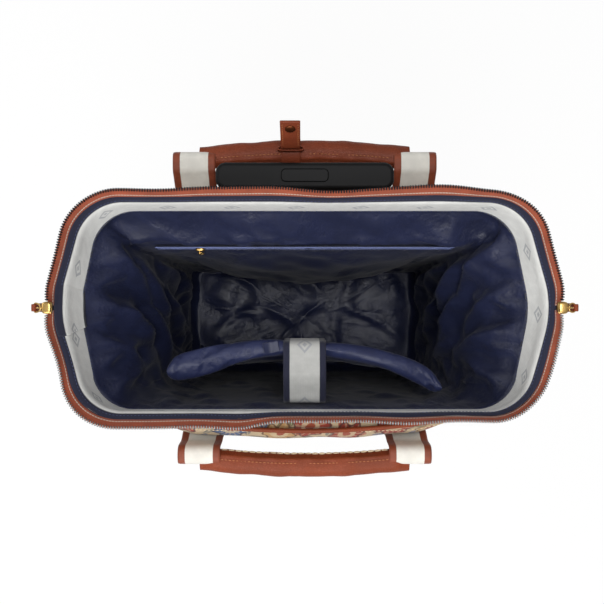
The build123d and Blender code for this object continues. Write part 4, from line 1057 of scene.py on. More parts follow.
class BackpackPouch(bpy.types.Operator):
    """Bulging front pouch with its piped seam and leather badge patch; its blank plate is the imported part,
    given its gold finish by the trolley step
    """

    bl_idname = "backpack.pouch"
    bl_label = "Front pouch"

    def execute(self, context):
        finish_set(context.scene)
        x = np.linspace(-POUCH_HALF, POUCH_HALF, 150)[None]
        rise = 0.5 - 0.5 * np.cos(np.linspace(0, np.pi, 100))
        z = POUCH_FOOT + (POUCH_TOP - POUCH_FOOT) * rise[:, None]
        out = pouch_front(x, z)
        pucker = 0.7 * np.sin(x / 7.5 + 2 * np.sin(x / 41.0)) * hump(z - POUCH_TOP, 11.0)
        pucker += 0.7 * np.sin(x / 8.5 + 1.0) * hump(z - POUCH_FOOT, 12.0)
        out = out + soft_step(out, 100.0, 112.0) * (ripple(x, z, 11, 50.0, 140.0) * 0.9 + pucker)
        points = coords(x, -out, z)
        back = coords(points[[0, -1], :, 0], POUCH_BACK, points[[0, -1], :, 2])
        piece = put("pouch_front", np.concatenate([back[:1], points, back[1:]]))
        hollowed(piece, 1.6)
        placed(piece, "tapestry cloth", "front_pouch")
        self.piping()
        hem = 148.0 * np.linspace(-1, 1, 120)
        hem = coords(hem, -pouch_front(hem, POUCH_TOP - 6.0) - 0.6, POUCH_TOP - 6.0)
        sewn("pouch_stitches", [hem], 4.0, [(0.0, -0.6, 0.8)], "cream thread")
        self.badge()
        return {"FINISHED"}

    def piping(self):
        """Leather cord round the pouch's seam: bowed along its top and foot, its corners smoothed."""
        half, back, bow, foot_bow = POUCH_HALF + 0.4, POUCH_BACK - 2.2, 15.0, 4.2
        head, foot = POUCH_TOP + 2.2, POUCH_FOOT - 2.2
        spread = np.linspace(-1, 1, 90)
        top = coords(half * spread, back - bow * (1 - spread**2), head)
        low = coords(half * spread, back - foot_bow * (1 - spread**2), foot)
        right = coords(half, back, np.linspace(head, foot, 60)[1:-1])
        left = right[::-1] * np.array([-1.0, 1.0, 1.0])
        loop = np.concatenate([top, right, low[::-1], left, top[:1]])
        loop = even(loop, len(loop))
        for _ in range(3):
            loop[:-1] = (np.roll(loop[:-1], 1, 0) + 2 * loop[:-1] + np.roll(loop[:-1], -1, 0)) / 4
            loop[-1] = loop[0]
        placed(looped("pouch_piping_cord", loop, oval(4.4, 4.4, 12), Y), "tan leather", "pouch_piping")

    def badge(self):
        """Leather patch: a superellipse plate with a raised, sewn rim that lies on the pouch's curve."""
        turn = np.linspace(0, TURN, 97)
        shape = drawn(coords(np.cos(turn), np.sin(turn)), 0.36)
        share = np.array([0.0, 0.5, 0.8, 0.84, 0.9, 0.95, 0.985, 1.0, 1.0, 0.98, 0.9, 0.5, 0.0])
        lift = np.array([1.5, 1.5, 1.5, 1.7, 2.2, 2.2, 1.9, 1.3, 0.3, 0.0, 0.0, 0.0, 0.0])
        flat = share[:, None, None] * shape * np.array([25.0, 17.0])
        points = coords(flat[..., 0], -(130.0 + lift[:, None]), flat[..., 1] + BADGE_LEVEL)
        placed(outward_faces(put("badge_leather", points)), "tan leather", "badge_patch")
        rim = coords(23.0 * shape[:, 0], -132.3, 15.2 * shape[:, 1] + BADGE_LEVEL)
        sewn("badge_stitches", [rim], 3.0, [-Y], "cream thread", thick=0.7)


class BackpackLining(bpy.types.Operator):
    """Loose lining cloth hung inside the mouth, folding down the ends and crumpled over the floor"""

    bl_idname = "backpack.lining"
    bl_label = "Lining"
    left_folds = (
        ((58, 392), (-8, 300), 13, 10),
        ((44, 396), (40, 318), 9, 8),
        ((20, 397), (30, 340), 8, 6),
        ((8, 397), (-40, 300), 13, 10),
        ((-18, 397), (-12, 346), 8, 6),
        ((-30, 397), (-70, 322), 10, 8),
        ((-56, 397), (-30, 310), 10, 8),
        ((-84, 392), (-52, 290), 11, 8),
        ((46, 350), (-34, 250), 16, 12),
        ((4, 318), (-70, 250), 16, 11),
        ((50, 290), (16, 190), 15, 11),
        ((16, 262), (-50, 160), 17, 12),
        ((-56, 270), (-74, 150), 12, 9),
        ((46, 200), (-10, 100), 17, 11),
        ((-16, 190), (-64, 90), 15, 10),
    )
    right_folds = (
        ((60, 390), (4, 306), 13, 10),
        ((38, 396), (44, 326), 9, 8),
        ((22, 397), (-26, 318), 11, 8),
        ((-4, 397), (10, 336), 8, 6),
        ((-22, 397), (-58, 300), 12, 10),
        ((-44, 397), (-40, 340), 8, 6),
        ((-66, 396), (-84, 320), 9, 7),
        ((-78, 394), (-44, 296), 10, 8),
        ((52, 344), (-10, 252), 16, 12),
        ((14, 316), (-54, 256), 15, 11),
        ((-34, 300), (-74, 230), 14, 10),
        ((50, 262), (20, 166), 15, 11),
        ((12, 250), (-44, 160), 17, 12),
        ((44, 180), (-4, 90), 17, 11),
        ((-16, 180), (-64, 96), 15, 10),
    )
    levels = (41.8, 60.6, 280.0, 345.0, 384.0, 393.7)
    end_inset = (16.2, 6.2, 6.2, 5.4, 4.8, 4.6)
    rear_wall = (48.8, 51.8, 56.8, 61.8, 86.0, 92.4)
    front_wall = (82.8, 93.8, 93.8, 93.8, 94.1, 94.2)
    rear_round = (8.0, 7.0, 6.0, 6.0, 14.0, 42.0)
    front_round = (10.0, 16.0, 16.0, 24.0, 38.0, 42.0)
    floor_level = 42.6

    def execute(self, context):
        finish_set(context.scene)
        reach = context.scene.backpack_sizes.fold_reach / MM
        heights = np.concatenate([np.linspace(398.0, 62.0, 74), [54.0, 47.0, 43.0]])
        rows = (self.end_inset, self.rear_wall, self.front_wall, self.rear_round, self.front_round)
        side, rear, front, *rounds = (eased(heights, self.levels, row) for row in rows)
        corner, hinge = flare(heights)
        corner, hinge = CORNER_HALF + CORNER_FLARE * corner, HINGE_HALF + HINGE_FLARE * hinge
        ring = outline(corner - side, hinge - side, rear, front, *rounds, 88.0)
        wall = lifted(ring, heights[:, None])
        shrink = np.linspace(0.97, 0.0, 24)[:, None, None]
        middle = np.array([0.0, -17.0])
        floor = lifted((wall[-1, :, :2] - middle) * shrink + middle, self.floor_level)
        points = np.concatenate([wall, floor])
        points[: len(wall), :, :2] -= outward(ring) * self.folds(wall, ring, rear, front)[..., None]
        fx, fy = floor[..., 0], floor[..., 1]
        rumple = ripple(fx, fy, 21, 30.0, 110.0)
        ridges = (1 - np.abs(ripple(fx, fy, 22, 60.0, 150.0))).clip(0, 1) ** 2
        fine = (1 - np.abs(ripple(fx, fy, 23, 24.0, 60.0))).clip(0, 1) ** 3
        crumple = 2.4 + 2.0 * rumple.clip(-1, 2) + 5.5 * ridges + 1.2 * fine
        points[len(wall) :, :, 2] += crumple * soft_fall(shrink[..., 0], 0.82, 0.99)
        piece = put("lining_bag", points, coords(run(ring[:1]), points[..., 2]) * MM, turned=True)

        def held(spots):
            x, y, z = spots.T
            rear_seam = (np.abs(z - POCKET_ZIP) < 4.0) & (y > 40.0)
            front_wall = (y < -70.0) & (np.abs(x) < 120.0)
            return (z > 388.0) | rear_seam | front_wall | (z < 58.0)

        def keep(before, after):
            moved = after[:, :2] - before[:, :2]
            outwards = (moved * unit(before[:, :2])).sum(1) > 0.4
            back = outwards & (np.linalg.norm(moved, axis=1) > 0.4)
            after[back, :2] = before[back, :2]
            after[:, 2] = np.maximum(after[:, 2], self.floor_level - 0.4)
            return after

        settled(piece, held, reach, 12, slack=0.035, weight=0.4, bending=0.6, keep=keep)
        hollowed(piece, 0.7, 1.0)
        placed(piece, "navy lining", "lining")
        return {"FINISHED"}

    def folds(self, wall, ring, rear, front):
        """How far the wall stands in: placed folds at both ends, a soft sag, a bulge above the pocket and
        small gathers under the mouth tape."""
        x, y, z = np.moveaxis(wall, -1, 0)
        ends = soft_step(np.abs(x), 120.0, 160.0)
        ends *= soft_step(rear[:, None] - y, 3.0, 15.0) * soft_step(y + front[:, None], 2.0, 12.0)
        left, right = creased(y, z, self.left_folds), creased(y, z, self.right_folds)
        inwards = ends * (2.0 + 1.4 * np.where(x < 0, left, right))
        inwards += 1.1 * ripple(x + y, z, 8, 22.0, 80.0)
        slope = soft_step(y, 58.0, 66.0) * soft_step(z, 352.0, 362.0)
        inwards += slope * 1.8 * (1 + ripple(x, 1.6 * z, 9, 46.0, 130.0))
        inwards = np.maximum(inwards, 0.0) * soft_fall(z, 378.0, 396.0)
        angle = TURN * lap_of(ring)
        gather = np.sin(84 * angle + 2.2 * np.sin(7 * angle)) * np.exp((z - 395.0) / 13.0)
        return inwards + 0.9 * (1 + gather) * soft_fall(z, 390.0, 397.0)


class BackpackMouthTape(bpy.types.Operator):
    """Striped tape sewn round the inside of the mouth, with a lapped seam at the left hinge"""

    bl_idname = "backpack.mouth_tape"
    bl_label = "Mouth tape"

    def execute(self, context):
        finish_set(context.scene)
        rows = 15
        share = np.linspace(0, 1, rows)
        heights = TAPE_FOOT + 36.9 * share
        over_wire = (0.0, 0.5, 0.8, 0.9, 1.0)
        side = eased(share, over_wire, (3.8, 4.6, 6.0, 5.2, 1.8))
        rear = eased(share, over_wire, (9.0, 7.4, 6.2, 5.2, 1.8))
        ring = body_ring(heights, side, rear, 2)
        face = outward(ring)
        travelled = run(ring)
        sway, lift = mouth_wave(ring)
        shift = 0.5 * np.sin(np.pi * share)[:, None] - sway * soft_step(share, 0.84, 1.0)[:, None]
        points = lifted(ring - face * shift[..., None], heights[:, None] + 0.35 * lift)
        across = np.linspace(0, TAPE_WIDE * MM, rows)[:, None] + 0 * travelled
        marks = coords(across, travelled * MM)
        middle = rows // 2
        self.sewn_in("mouth_ribbon", points, marks, travelled[middle, -1], "bag_shell", "mouth_tape")
        first = -20
        over = np.concatenate([np.arange(first, -1), np.arange(0, 14)])
        lap = points[:, over].copy()
        lap[..., :2] -= face[:, over] * (-1.3 + 2.9 * soft_step(np.arange(len(over)), 0, 18)[:, None])
        carry_on = coords(across[:, over], marks[:, first, 1:] + run(lap) * MM)
        self.sewn_in("mouth_ribbon_lap", lap, carry_on, run(lap)[middle, -1], "mouth_ribbon")
        inwards = -lifted(face, 0.0)
        lines = [points[row] + inwards[row] * 1.3 for row in (1, rows - 2)]
        sewn("mouth_stitches", lines, 3.2, [inwards[1]] * 2, "navy thread", thick=0.6)
        return {"FINISHED"}

    def sewn_in(self, name, points, marks, middle_run, under, *nodes):
        """One ribbon of the tape, given its thickness and the mouth stripe. Its middle run and the piece under
        it are not used.
        """
        piece = put(name, points, marks, turned=True)
        hollowed(piece, 1.0, 1.0)
        placed(piece, "mouth stripe", *nodes)


class BackpackZip(bpy.types.Operator):
    """Main zip: two wavy rust tapes with corded edges, bright teeth in front and rear teeth painted dark as
    painted shade
    """

    bl_idname = "backpack.main_zip"
    bl_label = "Main zip"
    reach = np.array([-0.6, -1.2, -1.9, -1.6, -1.1, -0.5, 0.2, 1.0, 1.5])
    level = np.array([426.0, 428.4, 430.8, 431.8, 432.6, 433.6, 434.7, 436.0, 437.4])

    def execute(self, context):
        finish_set(context.scene)
        pitch = context.scene.backpack_sizes.tooth_pitch / MM
        # The rear half's dark teeth are painted shade; both halves' teeth are one metal.
        for half, sign, teeth in (("front", -1, "bright teeth"), ("rear", 1, "dark teeth")):
            self.tape(half, sign, teeth, pitch)
        return {"FINISHED"}

    def tape(self, half, sign, teeth, pitch):
        """One half of the zip along the rim: its tape, teeth and corded edge, drawn in near the hinges."""
        base = body_ring(RIM, fine=2)[0]
        here = np.flatnonzero(base[:, 1] * sign > 0.9)
        spot, normal = base[here], outward(base[None])[0][here]
        sway, lift = mouth_wave(base)
        near = hump(spot[:, 1], 11.0)
        wave, rise = sway[here] - 2.2 * near, lift[here] * (1 - near)
        edge = np.linspace(0, 1, len(self.reach))[:, None]
        out = self.reach[:, None] + wave * (0.35 + 0.65 * edge)
        points = lifted(spot + normal * out[..., None], self.level[:, None] + rise * 0.7 * edge * (0.4 + edge))
        across, along = run(coords(self.reach, self.level))[:, None], run(base)[here]
        piece = put(half + "_zip_ribbon", points, coords(across, along) * MM)
        hollowed(piece, 0.8)
        placed(piece, "zip cloth", half + "_zip_tape")
        line = lifted(spot + normal * (1.9 + wave)[:, None], 438.3 + 0.98 * rise)
        line = line[np.abs(spot[:, 1]) > 5.6]
        tooth = pebble(pitch * 0.62, 3.4, 2.4, 3.4, 8, 5)
        chain = put_many(half + "_zip_teeth", tooth, *laid_along(line, int(run(line)[-1] / pitch), Z))
        placed(chain, teeth, half + "_zip_chain")
        placed(corded(half + "_zip_bead", even(line - 1.3 * Z, 320), oval(1.9, 1.9, 8)), "zip cloth")


class BackpackSliders(bpy.types.Operator):
    """Gold sliders of the main zip at the hinges, with a ring pull and a sewn leather tab each"""

    bl_idname = "backpack.sliders"
    bl_label = "Main zip sliders"
    block_x = 222.9
    ring_x, ring_z = 228.56, 438.5
    ring_long = 4.8
    droop = np.radians(35.0)

    def execute(self, context):
        finish_set(context.scene)
        shapes = []
        for sign in (-1, 1):
            block = pebble(11.0, 8.0, 3.2, 3.6, 24, 13)[..., [1, 0, 2]]
            post = pebble(4.0, 3.4, 6.0, 3.0, 16, 9)[..., [1, 0, 2]]
            seat = sign * self.block_x * X
            arch = bent([(226.2, 435.9), (231.0, 435.9), (231.0, 441.1), (226.2, 441.1)], 2.2, 30)
            path = coords(sign * arch[:, 0], 0.0, arch[:, 1])
            shapes += [
                block + seat + 436.6 * Z,
                block * np.array([1.0, 0.92, 0.9]) + seat + 440.4 * Z,
                post + seat + self.ring_z * Z,
                closed_ends(carried(path, oval(2.4, 1.3, 12, 2.6), Y)),
            ]
        sliders = joined("zip_slider_bodies", [put("part", shape) for shape in shapes])
        placed(sliders, "gold fitting", "zip_sliders")
        for name, sign in (("left", -1), ("right", 1)):
            self.pull(name, sign)
        return {"FINISHED"}

    def pull(self, name, sign):
        """Ring that droops from a slider, pear-shaped at the left and oval at the right, and a strip of
        leather folded through it and sewn flat."""
        body = name + "_pull"
        way = sign * np.cos(self.droop) * X - np.sin(self.droop) * Z
        root = sign * self.ring_x * X + self.ring_z * Z
        turn = np.linspace(0, TURN, 73)
        if sign < 0:
            wide = 2.6 + 2.0 * soft_step(-np.cos(turn), -1.0, 1.0)
            reach = self.ring_long * (1 - drawn(np.cos(turn), 0.75))
        else:
            wide = 3.8
            reach = self.ring_long * (1 - np.cos(turn))
        path = root + reach[:, None] * way + (wide * drawn(np.sin(turn), 0.88))[:, None] * Y
        ring = looped(name + "_pull_ring", path, oval(1.5, 1.5, 10), np.cross(way, Y))
        placed(ring, "gold fitting", name + "_zip_pull", body=body)
        far = root + 2 * self.ring_long * way
        fold = [(-0.8, -35.0), (-1.6, -6.0), (-1.7, 2.2), (1.7, 2.2), (1.6, -6.0), (0.8, -35.0)]
        fold = bent(fold, 1.7, 60)
        path = coords(far[0] + fold[:, 0], 0.0, far[2] - 0.6 + fold[:, 1])
        share = np.abs(np.linspace(-1, 1, 60))
        wide = (6.4 + 1.6 * soft_step(share, 0.2, 0.6)) * (1 - 0.25 * soft_step(share, 0.95, 1.0))
        profile = oval(1.1, 1.0, 16, 3.5) * coords(1.0, wide)[:, None]
        tab = corded(name + "_tab_leather", path, profile, Y)
        placed(tab, "tan leather", name + "_pull_tab", body=body)
        drop = far[2] - np.linspace(9.0, 33.0, 30)
        lines = [coords(far[0] + sign * 1.9, edge, drop) for edge in (-2.9, 2.9)]
        sewn(name + "_tab_stitches", lines, 2.6, [sign * X] * 2, "cream thread", body, thick=0.6)


class BackpackWallPocket(bpy.types.Operator):
    """Zipped pocket hanging on the rear lining, with a piped zip edge, a gold slider and its pull"""

    bl_idname = "backpack.wall_pocket"
    bl_label = "Wall pocket"
    foot, head = 110.0, 338.4

    def execute(self, context):
        finish_set(context.scene)
        self.panel()
        self.zip_edge()
        self.slider()
        return {"FINISHED"}

    def panel(self):
        """Bellied cloth that hangs from the zip and is held at its sides."""
        x = np.linspace(-POCKET_HALF, POCKET_HALF, 130)[None]
        z = np.linspace(self.head, self.foot, 90)[:, None]
        rear = eased(z, (41.8, 60.6, 280.0, 345.0), (48.5, 51.5, 56.5, 60.3))
        belly = eased(z, (self.foot, 151.0, 280.0, self.head), (4.0, 27.0, 15.0, 1.8))
        across = np.clip(1 - (x / POCKET_HALF) ** 2, 0, 1)
        hang = 0.5 * np.sin(x / 21.0 + z / 33.0) + ripple(x, z, 31, 30.0, 100.0)
        out = belly * across + 1.5 * across * soft_fall(z, 300.0, 334.0) * hang
        piece = put("pocket_panel", coords(x, rear - np.maximum(out, 0.2), z))

        def held(spots):
            return (spots[:, 2] > self.head - 2.4) | (np.abs(spots[:, 0]) > POCKET_HALF - 3.0)

        def keep(before, after):
            after[:, 1] = np.minimum(after[:, 1], before[:, 1] + 3.0)
            return after

        settled(piece, held, 6.0, 20, slack=0.045, weight=0.5, bending=0.3, keep=keep)
        hollowed(piece, 0.7)
        placed(piece, "navy lining", "inner_pocket")

    def zip_edge(self):
        """Slightly wavy zip band with a cord along each edge and a row of small teeth in its middle."""
        span = np.linspace(-148.0, 148.0, 160)
        rise = 0.5 * np.sin(span / 23.0)
        out = np.array([0.0, -0.7, -0.5, -0.3, -0.5, -0.8, 0.0])[:, None]
        level = np.array([351.4, 350.6, 348.0, 345.0, 341.6, 339.0, self.head])[:, None]
        tape = put("pocket_zip_band", coords(span, 60.0 + out, level + rise), turned=True)
        hollowed(tape, 0.8)
        placed(tape, "navy lining", "inner_zip_tape")
        for name, height, size in (("upper", 351.8, 1.2), ("lower", 338.2, 1.5)):
            path = coords(span, 58.8, height + rise)
            placed(corded("pocket_piping_" + name, path, oval(size, size, 10)), "lining piping")
        count = 200
        spot = coords(np.linspace(-146, 146, count), 59.0, POCKET_ZIP)
        axes = np.broadcast_to(np.eye(3), (count, 3, 3))
        placed(put_many("pocket_zip_coil", pebble(1.0, 1.0, 3.6, 2.4, 6, 5), spot, axes), "dark teeth")

    def slider(self):
        """Slider block with its arch, and a long ring as its pull."""
        block = pebble(9.0, 4.0, 7.0, 3.4, 24, 13) + np.array([SLIDER_X, 57.5, POCKET_ZIP])
        arch = bent([(55.8, 342.6), (52.5, 342.6), (52.5, 347.4), (55.8, 347.4)], 1.8, 30)
        path = coords(SLIDER_X, arch[:, 0], arch[:, 1])
        bridge = closed_ends(carried(path, oval(2.0, 1.1, 12, 2.6), X))
        body = joined("pocket_slider", [put("part", shape) for shape in (block, bridge)])
        placed(body, "gold fitting", "inner_zip_slider", body="inner_slider")
        turn = np.linspace(0, TURN, 61)
        path = coords(SLIDER_X + 2.9 * drawn(np.sin(turn), 0.7), 54.21, POCKET_ZIP - 6.8 + 7.4 * np.cos(turn))
        pull = looped("pocket_pull", path, oval(1.3, 1.3, 10), Y)
        placed(pull, "gold fitting", "inner_zip_pull", body="inner_pull")


class BackpackSleeve(bpy.types.Operator):
    """Padded laptop sleeve with a thick rolled edge, and the striped strap that closes it"""

    bl_idname = "backpack.sleeve"
    bl_label = "Laptop sleeve"
    foot, roll_level = 44.0, 366.0

    def execute(self, context):
        finish_set(context.scene)
        piece = outward_faces(put("sleeve_pad", closed_ends(self.pad())))

        def held(spots):
            return (spots[:, 2] < 60.0) | (np.abs(spots[:, 0]) > 128.0)

        settled(piece, held, 4.0, 16, pressure=2.2, slack=0.02, bending=0.8)
        smoothed(piece)
        placed(piece, "sleeve cloth", "laptop_sleeve")
        line = [(-89.8, 352.0), (-89.8, 384.0), (-61.9, 393.0), (-32.6, 386.0), (-31.6, 350.0)]
        line = bent(line, 9.0, 70)
        strap = band("sleeve_tie", coords(0.0, line[:, 0], line[:, 1]), WEBBING_WIDE, 1.6)
        placed(strap, "strap stripe", "sleeve_strap")
        tail = bent([(-24.0, 388.5), (-33.0, 389.5), (-38.0, 386.0)], 4.0, 20)
        stub = coords(tail[:, 0], -36.0 - 3.0 * np.linspace(0, 1, 20), tail[:, 1])
        placed(corded("sleeve_tab", stub, oval(11.0, 1.8, 20, 4.0)), "navy lining")
        return {"FINISHED"}

    def pad(self):
        """Sections side by side, each a flat loop with a rolled top: bowed back from the middle to both ends,
        pinched under the strap, swollen towards the ends and lightly quilted."""
        up = np.linspace(self.foot, self.roll_level, 60)
        roll = np.linspace(0, np.pi, 17)
        rear = coords(4.0 + 3.8 * hump(up - self.roll_level, 12.0), up)
        cap = coords(7.8 * np.cos(roll), self.roll_level + 8.6 * np.sin(roll))[1:-1]
        sole = coords(np.linspace(-4.0, 4.0, 7), self.foot - 1.0)[1:-1]
        loop = np.concatenate([rear, cap, rear[::-1] * np.array([-1.0, 1.0]), sole, rear[:1]])
        depth, level = loop[None, :, 0], loop[None, :, 1]
        share = np.linspace(-1, 1, 120)[:, None]
        share = np.sign(share) * (1 - (1 - np.abs(share)) ** 1.25)
        rise = (level - 42.0) / 333.0
        top = -42.0 - np.where(share < 0, 20.0, 36.0) * share**2
        base = -73.0 + 2.0 * (1 - share**2)
        edge = np.clip(1 - np.abs(share) ** 14, 0.05, 1.0) ** 0.5
        x = (128.0 + 5.0 * rise) * share + 0 * depth
        quilt = 1.1 * ripple(x, level + 40 * np.sign(depth), 41, 36.0, 120.0) * edge
        at_roll = hump(level - self.roll_level, 16.0)
        pinch = hump(x, 23.0, 4) * at_roll
        swell = 1 + np.where(share < 0, 0.9, 0.5) * np.abs(share) ** 1.4 * at_roll
        y = base + (top - base) * rise
        y = y + depth * edge * swell * (1 - 0.18 * pinch) + quilt * np.sign(depth) * 0.6
        wavy = 1.6 * np.sin(x / 26.0 + 0.8) + 1.0 * np.sin(x / 11.0)
        return coords(x, y, level + rise**3 * (wavy - 3.0 * share**2 + 1.5 * pinch))


class BackpackHandles(bpy.types.Operator):
    """Front and rear carry handles: padded leather grips in bordered webbing ends, with a wrap strap"""

    bl_idname = "backpack.handles"
    bl_label = "Carry handles"
    grip_deep, grip_high = 11.0, 10.5
    front_line = ((129.5, 310.0), (129.5, 356.0), (131.9, 383.7), (147.6, 383.7), (149.4, 367.0))
    rear_line = ((100.5, 322.0), (100.5, 360.0), (129.2, 385.7), (145.8, 385.7), (147.6, 369.0))

    def execute(self, context):
        finish_set(context.scene)
        self.grip("front", -1, 145.0, "tan leather")
        self.grip("rear", 1, 142.0, "brown leather")
        self.webbing("front", -1, self.front_line)
        self.webbing("rear", 1, self.rear_line)
        self.wrap()
        return {"FINISHED"}

    def grip(self, name, sign, reach, finish):
        """Padded grip: an oval carried along a shallow bow, with a raised seam on its upper inner side,
        flattened towards its folded ends."""
        level = {"front": 372.0, "rear": 374.0}[name]
        share = np.linspace(-1, 1, 130)
        path = coords(100 * share, sign * (reach + 6 * (1 - share**2)), level)
        turn = np.linspace(0, TURN, 49)
        seam_at = np.pi - np.radians(52.0)
        ridge = hump(turn - seam_at, 0.16)
        end = soft_step(np.abs(share), 0.86, 1.0)[:, None]
        pleat = 0.35 * np.sin(path[:, :1] / 3.1) * ridge * (1 - end)
        swell = 0.35 * ripple(path[:, :1], turn * 9.0, 51, 18.0, 60.0)
        grow = 1 + (1.1 * ridge * (1 - end) + pleat + swell) / self.grip_high
        y = sign * self.grip_deep * (1 + 0.03 * end) * np.cos(turn) * grow
        z = self.grip_high * (1 - 0.5 * end) * np.sin(turn) * grow
        piece = put(name + "_grip_leather", closed_ends(path[:, None] + coords(0.0, y, z)))
        outward_faces(piece)
        settled(piece, lambda spots: np.abs(spots[:, 0]) > 93.0, 1.6, 10, pressure=1.5, bending=2.0)
        placed(piece, finish, name + "_handle_grip")
        inner = path[np.abs(share) < 0.8]
        stitches = (
            ("_grip_stitches", seam_at - 0.36, 1.03, 3.6, "tan thread", SLOTS[finish], 0.7, 0.66),
            ("_grip_binding", np.pi - 0.2, 1.02, 6.4, "cream thread", None, 2.4, 1.02),
        )
        for end_name, angle, out, pitch, yarn, slot, thick, long in stitches:
            skin = np.array([0.0, sign * self.grip_deep * np.cos(angle), self.grip_high * np.sin(angle)])
            sewn(name + end_name, [inner + skin * out], pitch, [unit(skin)], yarn, "bag", slot, thick, long)

    def webbing(self, name, sign, line):
        """Webbing ends: a flat band sewn to the panel, turned out and tucked into the grip's end."""
        node = name + "_handle_webbing"
        web_x = box_of(node)[2][0] - WEBBING_WIDE / 2
        curve = bent(line, 8.0, 90)
        ends = [coords(side * web_x, sign * curve[:, 0], curve[:, 1]) for side in (-1, 1)]
        whole = joined(name + "_handle_bands", [band("part", path, WEBBING_WIDE, 1.8) for path in ends])
        spots = places_of(whole)
        spots[:, 1] += self.laid(sign, spots[:, 0], spots[:, 2])
        move_to(whole, spots)
        placed(whole, "bordered webbing", node)
        half, low, high = 11.0, line[0][1] + 3.0, line[1][1] - 14.0
        box = [(-half, low), (-half, high), (half, low), (half, high)]
        box = np.array(box + [(-half, high), (-half, low), (half, low), (half, high)])
        lines = []
        for side in (-1, 1):
            for first, last in zip(box[:-1], box[1:]):
                trail = even(np.stack([first, last]), 24)
                x = side * web_x + trail[:, 0]
                y = sign * (line[0][0] + 1.2) + self.laid(sign, x, trail[:, 1])
                lines.append(coords(x, y, trail[:, 1]))
        sewn(name + "_band_stitches", lines, 3.2, [sign * Y] * len(lines), "cream thread", thick=0.7)

    def laid(self, sign, x, z):
        """How far the sewn part of the front webbing moves to lie on the pouch's curve."""
        if sign > 0:
            return 0.0 * x
        (face, _), (_, sewn_to) = self.front_line[:2]
        flat = face - pouch_front(x, np.minimum(z, sewn_to + 4.0)) - 1.1
        return soft_fall(z, sewn_to - 10.0, sewn_to + 10.0) * flat

    def wrap(self):
        """Wrap strap: a leather band looped round the rear grip, held by a keeper, its end standing up."""
        centre, level, knee = 148.0, 374.0, 395.9
        turn = np.linspace(np.pi / 2, np.pi / 2 + TURN, 60)
        loop = coords(centre + 12.2 * np.cos(turn), level + 11.8 * np.sin(turn))
        stand = bent([(centre, 385.8), (centre, knee), (163.0, 432.0)], 8.0, 40)
        paths = [coords(WRAP_X, line[:, 0], line[:, 1]) for line in (loop, stand)]
        strap = joined("wrap_band", [band("part", path, 18.0, 1.8) for path in paths])
        placed(strap, "brown leather", "wrap_strap")
        turn = np.linspace(0, TURN, 49)
        x, y = drawn(np.cos(turn), 0.4), drawn(np.sin(turn), 0.4)
        path = coords(WRAP_X + 11.8 * x, centre + 1.9 * y, 390.4)
        placed(looped("wrap_loop", path, oval(1.4, 7.0, 16, 3.6)), "brown leather", "wrap_keeper")
        share = np.linspace(0, np.pi / 2, 9)[:, None]
        turn = np.linspace(0, TURN, 33)
        radius = 4.2 * np.sin(share) ** 0.9
        lean, up = unit(np.array([0.0, 36.1, -15.0])), unit(np.array([0.0, 15.0, 36.1]))
        seat = np.array([WRAP_X, 159.3, 423.0]) - lean * 0.9
        dome = (radius * np.cos(turn))[..., None] * X + (radius * np.sin(turn))[..., None] * up
        snap = put("wrap_stud", seat + dome - np.cos(share)[..., None] * lean)
        hollowed(snap, 0.6)
        placed(snap, "aged brass", "wrap_snap")
        rise = np.linspace(0.1, 0.93, 30)
        y, z = centre + 15.0 * rise - 1.05, 396.0 + 36.0 * rise + 0.4
        lines = [coords(WRAP_X + edge, y, z) for edge in (-7.0, 7.0)]
        facing = [(0.0, -0.92, 0.38)] * 2
        sewn("wrap_stitches", lines, 3.0, facing, "tan thread", slot="dark_leather", thick=0.6)


class BackpackStraps(bpy.types.Operator):
    """Padded shoulder straps on the back panel with bound edges, and their lower webbing"""

    bl_idname = "backpack.shoulder_straps"
    bl_label = "Shoulder straps"

    def execute(self, context):
        finish_set(context.scene)
        pitch = context.scene.backpack_sizes.stitch_pitch / MM
        t = np.linspace(0, 1, 90)
        z = 112.0 + 200.0 * t
        end = 1 - 0.35 * soft_step(np.abs(2 * t - 1), 0.93, 1.0)
        quilt = 1 - 0.10 * hump((z % 50.0) - 25.0, 3.0)
        shape = oval(48.0, 12.0, 48, 3.4) * coords(0.97, end * quilt)[:, None]
        for name, side in (("left", -1), ("right", 1)):
            path = coords(side * STRAP_X, 105.3 + 20.0 * (1 - (2 * t - 1) ** 2), z)
            pad = corded(name + "_strap_pad", path, shape, Y)
            placed(pad, "tan leather", name + "_shoulder_strap", slot="strap_pad")
            lines = [path[4:-4] + edge * X + 5.7 * Y for edge in (-19.5, 19.5)]
            sewn(name + "_strap_stitches", lines, pitch, [Y] * 2, "cream thread")
        paths = [coords(side * STRAP_X, 100.5, np.linspace(SEAM, SEAM + 9.4, 30)) for side in (-1, 1)]
        webs = joined("lower_webs", [band("part", path, 25.0, 2.0) for path in paths])
        placed(webs, "strap webbing", "strap_webbing")
        return {"FINISHED"}


